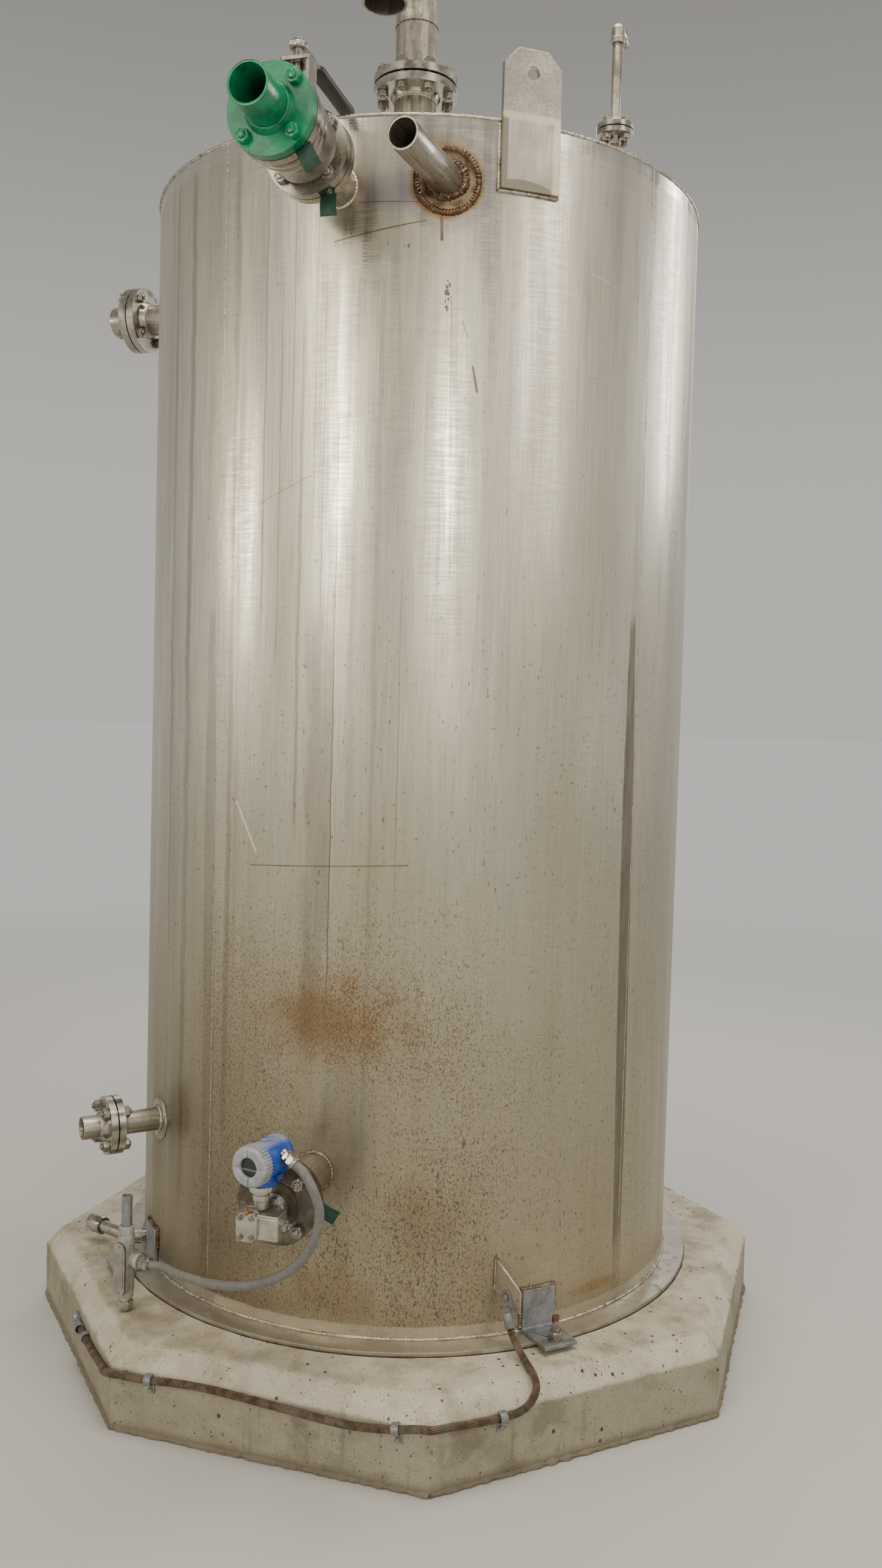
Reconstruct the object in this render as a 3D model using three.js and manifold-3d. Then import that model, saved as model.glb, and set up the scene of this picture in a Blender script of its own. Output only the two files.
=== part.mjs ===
import * as THREE from 'three';
import { mergeVertices } from 'three/addons/utils/BufferGeometryUtils.js';
import Module from 'manifold-3d';

// Vertical stainless storage tank on an octagonal concrete plinth, in millimetres.
// +Z is up, the origin is the tank's axis at floor level, and -Y is the side with the lever valve.
// Angles called PHI go round the tank from -Y, positive towards +X.

// plinth and tank
const PLINTH_H = 204;
const PLINTH_R = 1051;
const PLINTH_TURN = 3.8;
const CHAMFER_IN = 45;
const CHAMFER_DROP = 50;
const TANK_R = 762;
const WALL = 6;
const BASE_T = 12;
const BASE_R = 825;
const RIM_Z = 3115;
const ROOF_T = 6;
const ROOF_RISE = 130;
const SEAMS = [47, 137, 227, 319];
const ROUND = 96;
const PIPE_SIDES = 24;
const SMALL_SIDES = 16;
const GAP = 0.3;

// lifting lugs
const LUG_W = 145;
const LUG_T = 16;
const LUG_BOTTOM = 2953;
const LUG_TOP = 3276;
const LUG_HOLE_Z = 3222;
const LUG_HOLE_R = 15;
const LUG_CUT = 36;
const LUG_PHI = [17.3, 197.3];

// pipe sizes: outside diameter, wall, flange diameter and thickness, bolt circle, bolts, raised face, hub
const PIPE_4 = { od: 114.3, wall: 6, flange: 228.6, t: 23.9, bc: 190.5, bolts: 8, face: 157, hub: 135 };
const PIPE_3 = { od: 88.9, wall: 5.5, flange: 190.5, t: 23.9, bc: 152.4, bolts: 4, face: 127, hub: 108 };
const PIPE_2 = { od: 60.3, wall: 3.9, flange: 152.4, t: 19.1, bc: 120.7, bolts: 4, face: 92, hub: 78 };
const PIPE_S = { od: 26.7, wall: 2.9, flange: 98.6, t: 14.3, bc: 69.9, bolts: 4, face: 43, hub: 38 };
const BOLT_HOLE_R = 9.5;
const FACE_T = 1.6;
const INSIDE = 16;

// branches on the shell: angle, height, and the reach of the flange face from the wall
const VALVE_PHI = -16.6;
const VALVE_Z = 2951;
const VALVE_FACE = 178;
const VALVE_LEN = 203;
const STEM_AT = 79;
const STEM_R = 11;
const STEM_TOP = 212;
const LEVER_H = 195;
const LEVER_LEN = 312;
const GREEN_STUB = 110;
const INLET_PHI = 2.8;
const INLET_Z = 2964;
const INLET_DIR = -23;
const INLET_R = 36.5;
const INLET_WALL = 5;
const INLET_LEN = 260;
const INLET_PAD_R = 71;
const UPPER_PHI = -108;
const UPPER_Z = 2930;
const UPPER_FACE = 175;
const LOWER_PHI = -61.2;
const LOWER_Z = 624;
const LOWER_FACE = 130;
const LOWER_PAD_R = 52;
const BRANCH_STUB = 60;
const DRAIN_PHI = -71;
const DRAIN_Z = 256;
const DRAIN_DIR = -127;
const DRAIN_R = 16.7;

// level transmitter on its flanged branch; heights and sides are from the branch axis
const LEVEL_PHI = -17;
const LEVEL_Z = 616;
const LEVEL_FACE = 206;
const SENSOR_AT = 300;
const SENSOR_DROP = 19;
const HOUSING_UP = 122;
const HOUSING_SIDE = -5;
const HOUSING_DIR = -28;
const HOUSING_R = 42;
const COVER_R = 46;
const NECK_SIDE = -10;

// roof fittings
const VENT_X = -50;
const VENT_Y = -190;
const VENT_FACE_Z = 3436;
const VENT_DIR = -15;
const BEND_R = 152;
const BEND_Z = 3595;
const MOUTH_Z = 3505;
const SMALL_X = 485;
const SMALL_Y = -300;
const SMALL_FACE_Z = 3292;
const SMALL_TOP = 3555;
const SMALL_DIR = 157;

// anchors, earthing and conduit
const ANCHOR_PHI = [26, 116, 206, 296];
const ANCHOR_W = 92;
const ANCHOR_LEG = 104;
const ANCHOR_FOOT = 116;
const ANCHOR_T = 9;
const STUD_AT = 86;
const STUD_HOLE_R = 10;
const TAB_PHI = 17.3;
const TAB_DIR = 45;
const CABLE_R = 9;
const CONDUIT_R = 11;
const BOX_X = -700;
const BOX_Y = -603;
const BOX_BRANCH_Z = 338;
const COVER_DIR = -28;

// colour, roughness and metalness of each finish
const LOOK = {
  concrete: [0x9b927f, 0.95, 0],
  stainless: [0xa39a88, 0.42, 1],
  bright: [0xb4b0a6, 0.3, 1],
  green: [0x1f8a5c, 0.45, 0],
  galvanised: [0x8f979b, 0.5, 1],
  blue: [0x1f4f9e, 0.4, 0],
  lightgrey: [0xb4bac2, 0.5, 0],
  black: [0x17181a, 0.6, 0],
  glass: [0x26312f, 0.15, 0],
  conduit: [0x6f6d68, 0.7, 0],
  castgrey: [0x9a9a90, 0.55, 0],
  copper: [0x6a4a38, 0.6, 1],
};

const rad = (deg) => (deg * Math.PI) / 180;
const wasm = await Module();
wasm.setup();
const group = new THREE.Group();

// a closed geometry as a solid, turned the right way out
function solid(geometry) {
  let g = geometry.clone();
  g.deleteAttribute('normal');
  g.deleteAttribute('uv');
  g = mergeVertices(g, 1e-3);
  const p = g.attributes.position;
  const index = g.index.array;
  const a = new THREE.Vector3();
  const b = new THREE.Vector3();
  const c = new THREE.Vector3();
  const tris = [];
  let volume = 0;
  for (let i = 0; i < index.length; i += 3) {
    const corners = [index[i], index[i + 1], index[i + 2]];
    if (new Set(corners).size === 3) {
      a.fromBufferAttribute(p, corners[0]);
      b.fromBufferAttribute(p, corners[1]);
      c.fromBufferAttribute(p, corners[2]);
      volume += a.dot(b.cross(c));
      tris.push(corners);
    }
  }
  const triVerts = tris.flatMap(([i, j, k]) => (volume < 0 ? [i, k, j] : [i, j, k]));
  return new wasm.Manifold(new wasm.Mesh({
    numProp: 3,
    vertProperties: new Float32Array(p.array),
    triVerts: new Uint32Array(triVerts),
  }));
}

// a solid back as a geometry
function geometryOf(body) {
  const mesh = body.getMesh();
  const position = [];
  for (let i = 0; i < mesh.vertProperties.length; i += mesh.numProp) {
    position.push(mesh.vertProperties[i], mesh.vertProperties[i + 1], mesh.vertProperties[i + 2]);
  }
  const g = new THREE.BufferGeometry();
  g.setAttribute('position', new THREE.Float32BufferAttribute(position, 3));
  g.setIndex(Array.from(mesh.triVerts));
  return g;
}

// nested group that stands where the matrix says
function frame(matrix) {
  const nested = new THREE.Group();
  matrix.decompose(nested.position, nested.quaternion, nested.scale);
  group.add(nested);
  return nested;
}

// one named piece, in the tank's own frame or in a nested one
function piece(name, body, look, parent = group) {
  const [color, roughness, metalness] = LOOK[look];
  const material = new THREE.MeshStandardMaterial({ color, roughness, metalness });
  const mesh = new THREE.Mesh(geometryOf(body), material);
  mesh.name = name;
  parent.add(mesh);
}

// profile of [radius, height] points turned about Z
function turned(points, segments = PIPE_SIDES) {
  const closed = [...points, points[0]].map(([r, z]) => new THREE.Vector2(r, z));
  const g = new THREE.LatheGeometry(closed, segments);
  g.rotateX(Math.PI / 2);
  return solid(g);
}

// round bar along Z
function rod(r, z0, z1, segments = PIPE_SIDES, x = 0, y = 0) {
  const g = new THREE.CylinderGeometry(r, r, z1 - z0, segments);
  g.rotateX(Math.PI / 2);
  g.translate(x, y, (z0 + z1) / 2);
  return solid(g);
}

// round bar along Y
function upright(r, y0, y1, segments = 24, x = 0, z = 0) {
  const g = new THREE.CylinderGeometry(r, r, y1 - y0, segments);
  g.translate(x, (y0 + y1) / 2, z);
  return solid(g);
}

// box between two corners
function box(x0, x1, y0, y1, z0, z1) {
  const g = new THREE.BoxGeometry(x1 - x0, y1 - y0, z1 - z0);
  g.translate((x0 + x1) / 2, (y0 + y1) / 2, (z0 + z1) / 2);
  return solid(g);
}

// flat outline of [x, y] points, raised along Z
function plate(points, z0, z1) {
  const shape = new THREE.Shape(points.map(([x, y]) => new THREE.Vector2(x, y)));
  const g = new THREE.ExtrudeGeometry(shape, { depth: z1 - z0, bevelEnabled: false });
  g.translate(0, 0, z0);
  return solid(g);
}

// round section swept along a curve; a bore of radius inner is left open at both ends
function swept(curve, r, steps, sides = 12, inner = 0) {
  const ring = (radius) => {
    const points = [];
    for (let i = 0; i < sides; i += 1) {
      const t = (2 * Math.PI * i) / sides;
      points.push(new THREE.Vector2(radius * Math.cos(t), radius * Math.sin(t)));
    }
    return points;
  };
  const shape = new THREE.Shape(ring(r));
  if (inner > 0) {
    shape.holes.push(new THREE.Path(ring(inner)));
  }
  return solid(new THREE.ExtrudeGeometry(shape, { steps, extrudePath: curve, bevelEnabled: false }));
}

// a solid moved by a matrix
function moved(body, matrix) {
  const g = geometryOf(body);
  g.applyMatrix4(matrix);
  return solid(g);
}

// frame on the wall: local Z points outwards along dir, Y up and X along the wall
function outward(phi, z, r = TANK_R, dir = phi) {
  const a = rad(phi);
  const d = rad(dir);
  const m = new THREE.Matrix4().makeBasis(
    new THREE.Vector3(Math.cos(d), Math.sin(d), 0),
    new THREE.Vector3(0, 0, 1),
    new THREE.Vector3(Math.sin(d), -Math.cos(d), 0),
  );
  return m.setPosition(r * Math.sin(a), -r * Math.cos(a), z);
}

// upright frame at a point, its Y turned to a compass angle
function upon(x, y, z, dir = 0) {
  return new THREE.Matrix4().makeRotationZ(rad(dir)).setPosition(x, y, z);
}

// flange with its joint face at z and its body behind, on the side s (-1 below, 1 above)
function flange(size, z, s, bore = size.od / 2 - size.wall, hubLength = 14) {
  const sides = size === PIPE_S ? SMALL_SIDES : PIPE_SIDES;
  const back = z + s * size.t;
  const step = z + s * FACE_T;
  const end = back + s * hubLength;
  let body = turned([
    [bore, z], [size.face / 2, z], [size.face / 2, step], [size.flange / 2, step],
    [size.flange / 2, back], [size.hub / 2, back], [size.hub / 2 - 5, end], [bore, end],
  ], sides);
  for (let i = 0; i < size.bolts; i += 1) {
    const t = (2 * Math.PI * (i + 0.5)) / size.bolts;
    const x = (size.bc / 2) * Math.cos(t);
    const y = (size.bc / 2) * Math.sin(t);
    const hole = rod(BOLT_HOLE_R, Math.min(z, back) - 5, Math.max(z, back) + 5, 8, x, y);
    body = body.subtract(hole);
  }
  return body;
}

// pipe along Z
function pipe(size, z0, z1) {
  const sides = size === PIPE_S ? SMALL_SIDES : PIPE_SIDES;
  const inner = size.od / 2 - size.wall;
  return turned([[inner, z0], [size.od / 2, z0], [size.od / 2, z1], [inner, z1]], sides);
}

// branch: pipe through the wall and its flange
function branch(size, face) {
  return pipe(size, -INSIDE, face - 4).add(flange(size, face, -1));
}

// companion flange on the branch, with the stub of pipe that is welded to it
function companion(size, face, stub) {
  const start = face + GAP;
  return flange(size, start, 1).add(pipe(size, start + 4, start + size.t + stub));
}

// drum of the wall's own facets, for trimming
function drum(r) {
  return turned([[0, -50], [r, -50], [r, RIM_Z + 500], [0, RIM_Z + 500]], ROUND);
}

// plinth: cast concrete octagon with a chamfered top edge
const plinthTop = PLINTH_R - CHAMFER_IN / Math.cos(rad(22.5));
const plinth = turned([
  [0, 0], [PLINTH_R, 0], [PLINTH_R, PLINTH_H - CHAMFER_DROP], [plinthTop, PLINTH_H], [0, PLINTH_H],
], 8);
piece('plinth', plinth, 'concrete', frame(upon(0, 0, 0, PLINTH_TURN)));

// floor plate, which stands out past the wall as a base ring
const baseBottom = PLINTH_H + GAP;
const baseTop = PLINTH_H + BASE_T;
const basePlate = turned([[0, baseBottom], [BASE_R, baseBottom], [BASE_R, baseTop], [0, baseTop]], ROUND);
piece('base_plate', basePlate, 'stainless');

// bores that the branches need in the wall
const bores = [
  moved(rod(PIPE_3.od / 2 + GAP, -80, 80, PIPE_SIDES), outward(VALVE_PHI, VALVE_Z)),
  moved(rod(INLET_R + GAP, -80, 80, PIPE_SIDES), outward(INLET_PHI, INLET_Z, TANK_R, INLET_DIR)),
  moved(rod(PIPE_3.od / 2 + GAP, -80, 80, PIPE_SIDES), outward(UPPER_PHI, UPPER_Z)),
  moved(rod(PIPE_2.od / 2 + GAP, -80, 80, PIPE_SIDES), outward(LOWER_PHI, LOWER_Z)),
  moved(rod(DRAIN_R + GAP, -80, 80, SMALL_SIDES), outward(DRAIN_PHI, DRAIN_Z)),
  moved(rod(PIPE_3.od / 2 + GAP, -80, 80, PIPE_SIDES), outward(LEVEL_PHI, LEVEL_Z)),
];

// wall: four rolled sheets between the upright seams
const wallBottom = baseTop + GAP;
const wallTop = RIM_Z - ROOF_T - GAP;
let wall = turned([
  [TANK_R - WALL, wallBottom], [TANK_R, wallBottom], [TANK_R, wallTop], [TANK_R - WALL, wallTop],
], ROUND);
for (const bore of bores) {
  wall = wall.subtract(bore);
}
SEAMS.forEach((start, i) => {
  const end = i < 3 ? SEAMS[i + 1] : SEAMS[0] + 360;
  const slack = 0.012;
  const corner = (phi, r) => [r * Math.sin(rad(phi)), -r * Math.cos(rad(phi))];
  const wedge = plate([
    [0, 0], corner(start + slack, 1000), corner((start + end) / 2, 1600), corner(end - slack, 1000),
  ], 0, RIM_Z + 100);
  piece(`shell_${i + 1}`, wall.intersect(wedge), 'stainless');
});

// roof: shallow cone on the wall's upper edge, with holes for its two branches
const roofZ = (x, y) => RIM_Z + ROOF_RISE * (1 - Math.hypot(x, y) / TANK_R);
const roof = turned([
  [0, RIM_Z - ROOF_T + ROOF_RISE], [TANK_R, RIM_Z - ROOF_T], [TANK_R, RIM_Z], [0, RIM_Z + ROOF_RISE],
], ROUND)
  .subtract(rod(PIPE_4.od / 2 + GAP, RIM_Z - 50, RIM_Z + 300, PIPE_SIDES, VENT_X, VENT_Y))
  .subtract(rod(PIPE_S.od / 2 + GAP, RIM_Z - 50, RIM_Z + 300, SMALL_SIDES, SMALL_X, SMALL_Y));
piece('roof', roof, 'stainless');

// lifting lugs: flat plates on the wall, with cut top corners and a shackle hole
const half = LUG_W / 2;
const lugHeight = LUG_TOP - LUG_BOTTOM;
const lug = plate([
  [-half, 0], [half, 0], [half, lugHeight - LUG_CUT], [half - LUG_CUT, lugHeight],
  [LUG_CUT - half, lugHeight], [-half, lugHeight - LUG_CUT],
], GAP, GAP + LUG_T).subtract(rod(LUG_HOLE_R, -5, 40, SMALL_SIDES, 0, LUG_HOLE_Z - LUG_BOTTOM));
LUG_PHI.forEach((phi, i) => {
  piece(`lifting_lug_${i + 1}`, lug, 'stainless', frame(outward(phi, LUG_BOTTOM)));
});

// inlet: pipe welded into the wall at a slant, with a round reinforcing pad
const inletPipe = turned([
  [INLET_R - INLET_WALL, -70], [INLET_R, -70], [INLET_R, INLET_LEN], [INLET_R - INLET_WALL, INLET_LEN],
]);
const inletAxis = outward(INLET_PHI, INLET_Z, TANK_R, INLET_DIR);
const inletPad = moved(rod(INLET_PAD_R, -40, 60, 32), outward(INLET_PHI, INLET_Z))
  .intersect(drum(TANK_R + GAP + 6))
  .subtract(drum(TANK_R + GAP))
  .subtract(moved(rod(INLET_R - 1, -80, 80, PIPE_SIDES), inletAxis));
const inletBody = moved(inletPipe, inletAxis).subtract(drum(TANK_R - INSIDE)).add(inletPad);
piece('inlet_pipe', inletBody, 'stainless');

// lever valve: flanged two-piece ball valve between the tank branch and the green flange
const valve = frame(outward(VALVE_PHI, VALVE_Z));
piece('valve_nozzle', branch(PIPE_3, VALVE_FACE), 'stainless', valve);
const valveStart = VALVE_FACE + GAP;
const valveEnd = valveStart + VALVE_LEN;
const ballAt = valveStart + STEM_AT;
const jointAt = ballAt + 62;
const bore = 38;
const chamber = 60;
const bonnet = upright(25, 60, 118, 20, 0, ballAt)
  .add(box(-34, 34, 62, 86, ballAt - 30, ballAt + 30));
const bodyShape = turned([
  [bore, valveStart + 3], [58, valveStart + 3], [58, ballAt - 52], [78, ballAt - 36],
  [78, ballAt + 36], [88, ballAt + 42], [88, jointAt], [chamber, jointAt],
  [chamber, ballAt - 46], [bore, ballAt - 46],
]);
const valveBody = flange(PIPE_3, valveStart, 1, bore, 4)
  .add(bodyShape)
  .add(bonnet.subtract(rod(chamber, ballAt - 46, jointAt, PIPE_SIDES)))
  .subtract(upright(STEM_R + GAP, 0, 140, 20, 0, ballAt));
piece('valve_body', valveBody, 'bright', valve);
const endStart = jointAt + GAP;
const valveCap = flange(PIPE_3, valveEnd, -1, bore, 4).add(turned([
  [bore, endStart], [88, endStart], [88, endStart + 20], [64, endStart + 26],
  [58, valveEnd - 4], [bore, valveEnd - 4],
]));
piece('valve_end', valveCap, 'bright', valve);

// yoke that carries the stem and stops the lever
const yoke = box(-34, 34, 157, 165, ballAt - 26, ballAt + 26)
  .add(box(26, 34, 86 + GAP, 160, ballAt - 22, ballAt + 22))
  .add(box(-34, -26, 86 + GAP, 160, ballAt - 22, ballAt + 22))
  .subtract(upright(STEM_R + 0.5, 120, 200, 20, 0, ballAt));
piece('valve_yoke', yoke, 'bright', valve);

// ball with its through port, and the stem that turns it
const ballGeometry = new THREE.SphereGeometry(54, 20, 12);
ballGeometry.translate(0, 0, ballAt);
const ball = solid(ballGeometry)
  .subtract(rod(bore, ballAt - 80, ballAt + 80, PIPE_SIDES))
  .add(upright(STEM_R, 46, STEM_TOP, 20, 0, ballAt));
piece('valve_stem', ball, 'bright', valve);

// lever, pointing back over the rim of the tank while the valve is open
const leverEnd = ballAt - LEVER_LEN;
const leverBar = box(-14, 14, LEVER_H - 4, LEVER_H + 4, leverEnd + 20, ballAt + 20)
  .add(upright(20, LEVER_H - 6, LEVER_H + 6, 20, 0, ballAt))
  .subtract(upright(STEM_R + GAP, LEVER_H - 20, LEVER_H + 20, 20, 0, ballAt));
piece('valve_lever', leverBar, 'bright', valve);
const slot = [LEVER_H - 4 - GAP, LEVER_H + 4 + GAP];
const grip = box(-19, 19, LEVER_H - 8, LEVER_H + 8, leverEnd, leverEnd + 215)
  .subtract(box(-14 - GAP, 14 + GAP, slot[0], slot[1], leverEnd + 20 - GAP, leverEnd + 300));
piece('lever_grip', grip, 'black', valve);

// green flange with its pipe stub
piece('green_flange', companion(PIPE_3, valveEnd, GREEN_STUB), 'green', valve);

// branch high on the far left, with its companion flange
const upper = frame(outward(UPPER_PHI, UPPER_Z));
piece('upper_nozzle', branch(PIPE_3, UPPER_FACE), 'stainless', upper);
piece('upper_flange', companion(PIPE_3, UPPER_FACE, BRANCH_STUB), 'stainless', upper);

// branch low on the left, with its pad and companion flange
const lowerAxis = outward(LOWER_PHI, LOWER_Z);
const lower = frame(lowerAxis);
const lowerDrum = lowerAxis.clone().invert();
const lowerPad = rod(LOWER_PAD_R, -40, 60, 32)
  .intersect(moved(drum(TANK_R + GAP + 5), lowerDrum))
  .subtract(moved(drum(TANK_R + GAP), lowerDrum))
  .subtract(rod(PIPE_2.od / 2 - 1, -60, 80, PIPE_SIDES));
piece('lower_nozzle', branch(PIPE_2, LOWER_FACE).add(lowerPad), 'stainless', lower);
piece('lower_flange', companion(PIPE_2, LOWER_FACE, BRANCH_STUB), 'stainless', lower);

// drain: elbow close to the wall, then a capped run
const drain = frame(outward(DRAIN_PHI, DRAIN_Z));
const aside = upon(0, 0, 0).makeRotationY(rad(DRAIN_DIR - DRAIN_PHI)).setPosition(0, 0, 46);
const elbow = new THREE.SphereGeometry(21, SMALL_SIDES, 8);
elbow.translate(0, 0, 46);
const drainPipe = rod(DRAIN_R, -INSIDE, 46, SMALL_SIDES)
  .add(rod(21, 18, 46, SMALL_SIDES))
  .add(solid(elbow))
  .add(moved(rod(21, 0, 28, SMALL_SIDES), aside))
  .add(moved(rod(DRAIN_R, 0, 130, SMALL_SIDES), aside));
piece('drain_pipe', drainPipe, 'stainless', drain);
const cap = rod(24, 112, 166, SMALL_SIDES).subtract(rod(DRAIN_R + GAP, 100, 130 + GAP, SMALL_SIDES));
piece('drain_cap', moved(cap, aside), 'bright', drain);

// level transmitter
const levelAxis = outward(LEVEL_PHI, LEVEL_Z);
const level = frame(levelAxis);
piece('level_nozzle', branch(PIPE_3, LEVEL_FACE), 'stainless', level);
const levelStart = LEVEL_FACE + GAP;
const levelBack = levelStart + PIPE_3.t;
const sensorBack = SENSOR_AT - 38;
const blind = flange(PIPE_3, levelStart, 1, 12, 3)
  .add(rod(30, levelBack - 4, levelBack + 14).subtract(rod(12, levelBack - 10, levelBack + 5, PIPE_SIDES)))
  .add(rod(24, levelBack + 8, sensorBack - GAP));
piece('level_flange', blind, 'stainless', level);
const low = -SENSOR_DROP - 32;
const high = -SENSOR_DROP + 32;
const sensor = plate([
  [-52, low + 12], [-42, low], [-12, low], [-2, low + 12],
  [-2, high - 12], [-12, high], [-42, high], [-52, high - 12],
], SENSOR_AT - 34, SENSOR_AT + 34)
  .add(box(-6, 44, low + 4, high - 4, SENSOR_AT - 28, SENSOR_AT + 24))
  .add(box(-30, 26, low + 6, high - 6, sensorBack, SENSOR_AT));
const plugGeometry = new THREE.CylinderGeometry(14, 14, 24, 6);
plugGeometry.rotateZ(Math.PI / 2);
plugGeometry.translate(54, -SENSOR_DROP, SENSOR_AT - 2);
piece('level_sensor', sensor.add(solid(plugGeometry)), 'bright', level);

// housing of the transmitter, turned a little aside from the branch
const housingCentre = new THREE.Vector3(HOUSING_SIDE, HOUSING_UP, SENSOR_AT).applyMatrix4(levelAxis);
const housingAxis = outward(HOUSING_DIR, 0).setPosition(housingCentre);
const head = frame(housingAxis);
const housing = rod(HOUSING_R, -55, 25)
  .add(rod(HOUSING_R + 2, -64, -50))
  .add(upright(27, -HOUSING_R - 14, 0, 20, 0, -10));
piece('level_housing', housing, 'blue', head);
const cover = turned([
  [21, 25 + GAP], [COVER_R, 25 + GAP], [COVER_R, 52], [COVER_R - 5, 58], [21, 58],
]);
const window = rod(20.4, 25 + GAP, 50);
piece('level_cover', cover, 'lightgrey', head);
piece('level_display', window, 'glass', head);
const neckTop = HOUSING_UP - HOUSING_R - 14 - GAP;
const neckFoot = high + GAP;
const neckZ = SENSOR_AT - 8;
const neck = upright(16, neckFoot, neckTop, 20, NECK_SIDE, neckZ)
  .add(upright(27, neckTop - 14, neckTop, 20, NECK_SIDE, neckZ));
piece('level_neck', neck, 'bright', level);

// gland on the side of the housing, and the flexible conduit that runs to the conduit body
const glandSlope = rad(-32);
const glandDir = new THREE.Vector3(Math.cos(glandSlope), Math.sin(glandSlope), 0);
const glandFrom = new THREE.Vector3(34, 20, -22);
const glandTurn = new THREE.Quaternion().setFromUnitVectors(new THREE.Vector3(0, 0, 1), glandDir);
const glandAxis = housingAxis.clone().multiply(
  new THREE.Matrix4().compose(glandFrom, glandTurn, new THREE.Vector3(1, 1, 1)),
);
const toGland = glandAxis.clone().invert().multiply(housingAxis);
const gland = rod(13, 0, 44, SMALL_SIDES)
  .add(rod(17, 12, 22, 6))
  .add(rod(17, 24, 40, SMALL_SIDES))
  .subtract(moved(rod(HOUSING_R + GAP, -70, 40), toGland));
piece('level_gland', gland, 'bright', frame(glandAxis));

const castBox = frame(outward(0, 0, 0, COVER_DIR).setPosition(BOX_X, BOX_Y, 0));
const branchAxis = outward(0, 0, 0, COVER_DIR + 90).setPosition(BOX_X, BOX_Y, BOX_BRANCH_Z);
const branchDir = new THREE.Vector3(0, 0, 1).transformDirection(branchAxis);
const conduitStart = new THREE.Vector3(0, 0, 44 + 2 * GAP).applyMatrix4(glandAxis);
const conduitOut = new THREE.Vector3(0, 0, 1).transformDirection(glandAxis);
const conduitEnd = new THREE.Vector3(0, 0, 76 + 2 * GAP).applyMatrix4(branchAxis);
const conduitRoute = [
  conduitStart,
  conduitStart.clone().addScaledVector(conduitOut, 22),
  new THREE.Vector3(-202, -1052, 690),
  new THREE.Vector3(-186, -1052, 639),
  new THREE.Vector3(-196, -1044, 577),
  new THREE.Vector3(-236, -1022, 507),
  new THREE.Vector3(-302, -990, 457),
  new THREE.Vector3(-372, -945, 424),
  new THREE.Vector3(-445, -886, 402),
  new THREE.Vector3(-500, -803, 376),
  new THREE.Vector3(-554, -720, 352),
  conduitEnd.clone().addScaledVector(branchDir, 32).setZ(BOX_BRANCH_Z + 3),
  conduitEnd.clone().addScaledVector(branchDir, 14),
  conduitEnd,
];
piece('level_conduit', swept(new THREE.CatmullRomCurve3(conduitRoute), CONDUIT_R, 36, 10), 'conduit');

// conduit body: cast box with hubs above, below and at the side, an oval cover and a plug
const column = (r, y0, y1) => upright(r, y0, y1, SMALL_SIDES);
const sideways = new THREE.Matrix4().makeRotationY(rad(90)).setPosition(0, BOX_BRANCH_Z, 0);
const boxBody = column(21, 250, 404)
  .add(column(19, 240, 424))
  .add(box(-20, 20, 250, 388, 0, 24))
  .add(moved(rod(19, 0, 44, SMALL_SIDES), sideways))
  .add(column(15, PLINTH_H + GAP, 242))
  .add(column(19, 212, 232))
  .subtract(column(PIPE_S.od / 2 + GAP, 404, 430));
piece('conduit_body', boxBody, 'castgrey', castBox);
const ovalShape = new THREE.Shape();
ovalShape.absarc(0, 368, 18, 0, Math.PI);
ovalShape.absarc(0, 269, 18, Math.PI, 2 * Math.PI);
const oval = new THREE.ExtrudeGeometry(ovalShape, { depth: 5, bevelEnabled: false, curveSegments: 6 });
oval.translate(0, 0, 24 + GAP);
piece('conduit_cover', solid(oval), 'bright', castBox);
const boxRiser = column(PIPE_S.od / 2, 404 + GAP, 500).subtract(column(10.5, 380, 520));
piece('conduit_riser', boxRiser, 'galvanised', castBox);
const endGland = rod(13, 44 + GAP, 76, SMALL_SIDES)
  .add(rod(17, 48, 60, 6))
  .add(rod(17, 62, 74, SMALL_SIDES));
piece('conduit_gland', endGland, 'bright', frame(branchAxis));

// roof vent: flanged branch and a gooseneck that turns down towards the front
const vent = frame(upon(VENT_X, VENT_Y, 0));
const ventFoot = roofZ(VENT_X, VENT_Y) - 22;
const ventNeck = pipe(PIPE_4, ventFoot, VENT_FACE_Z - 4).add(flange(PIPE_4, VENT_FACE_Z, -1));
piece('vent_nozzle', ventNeck, 'stainless', vent);
const ventRing = flange(PIPE_4, VENT_FACE_Z + GAP, 1, PIPE_4.od / 2 - PIPE_4.wall, 20);
const ventTop = VENT_FACE_Z + GAP + PIPE_4.t + 20 - 5;
const ventDir = new THREE.Vector3(Math.sin(rad(VENT_DIR)), -Math.cos(rad(VENT_DIR)), 0);
class Gooseneck extends THREE.Curve {
  getPoint(t, target = new THREE.Vector3()) {
    const rise = BEND_Z - ventTop;
    const turn = Math.PI * BEND_R;
    const s = t * (rise + turn + BEND_Z - MOUTH_Z);
    let along = 0;
    let height = ventTop + s;
    if (s > rise + turn) {
      along = 2 * BEND_R;
      height = BEND_Z - (s - rise - turn);
    } else if (s > rise) {
      const a = (s - rise) / BEND_R;
      along = BEND_R * (1 - Math.cos(a));
      height = BEND_Z + BEND_R * Math.sin(a);
    }
    return target.copy(ventDir).multiplyScalar(along).setZ(height);
  }
}
const neckBend = swept(new Gooseneck(), PIPE_4.od / 2, 18, 24, PIPE_4.od / 2 - PIPE_4.wall);
piece('vent_gooseneck', ventRing.add(neckBend), 'stainless', vent);

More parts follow.
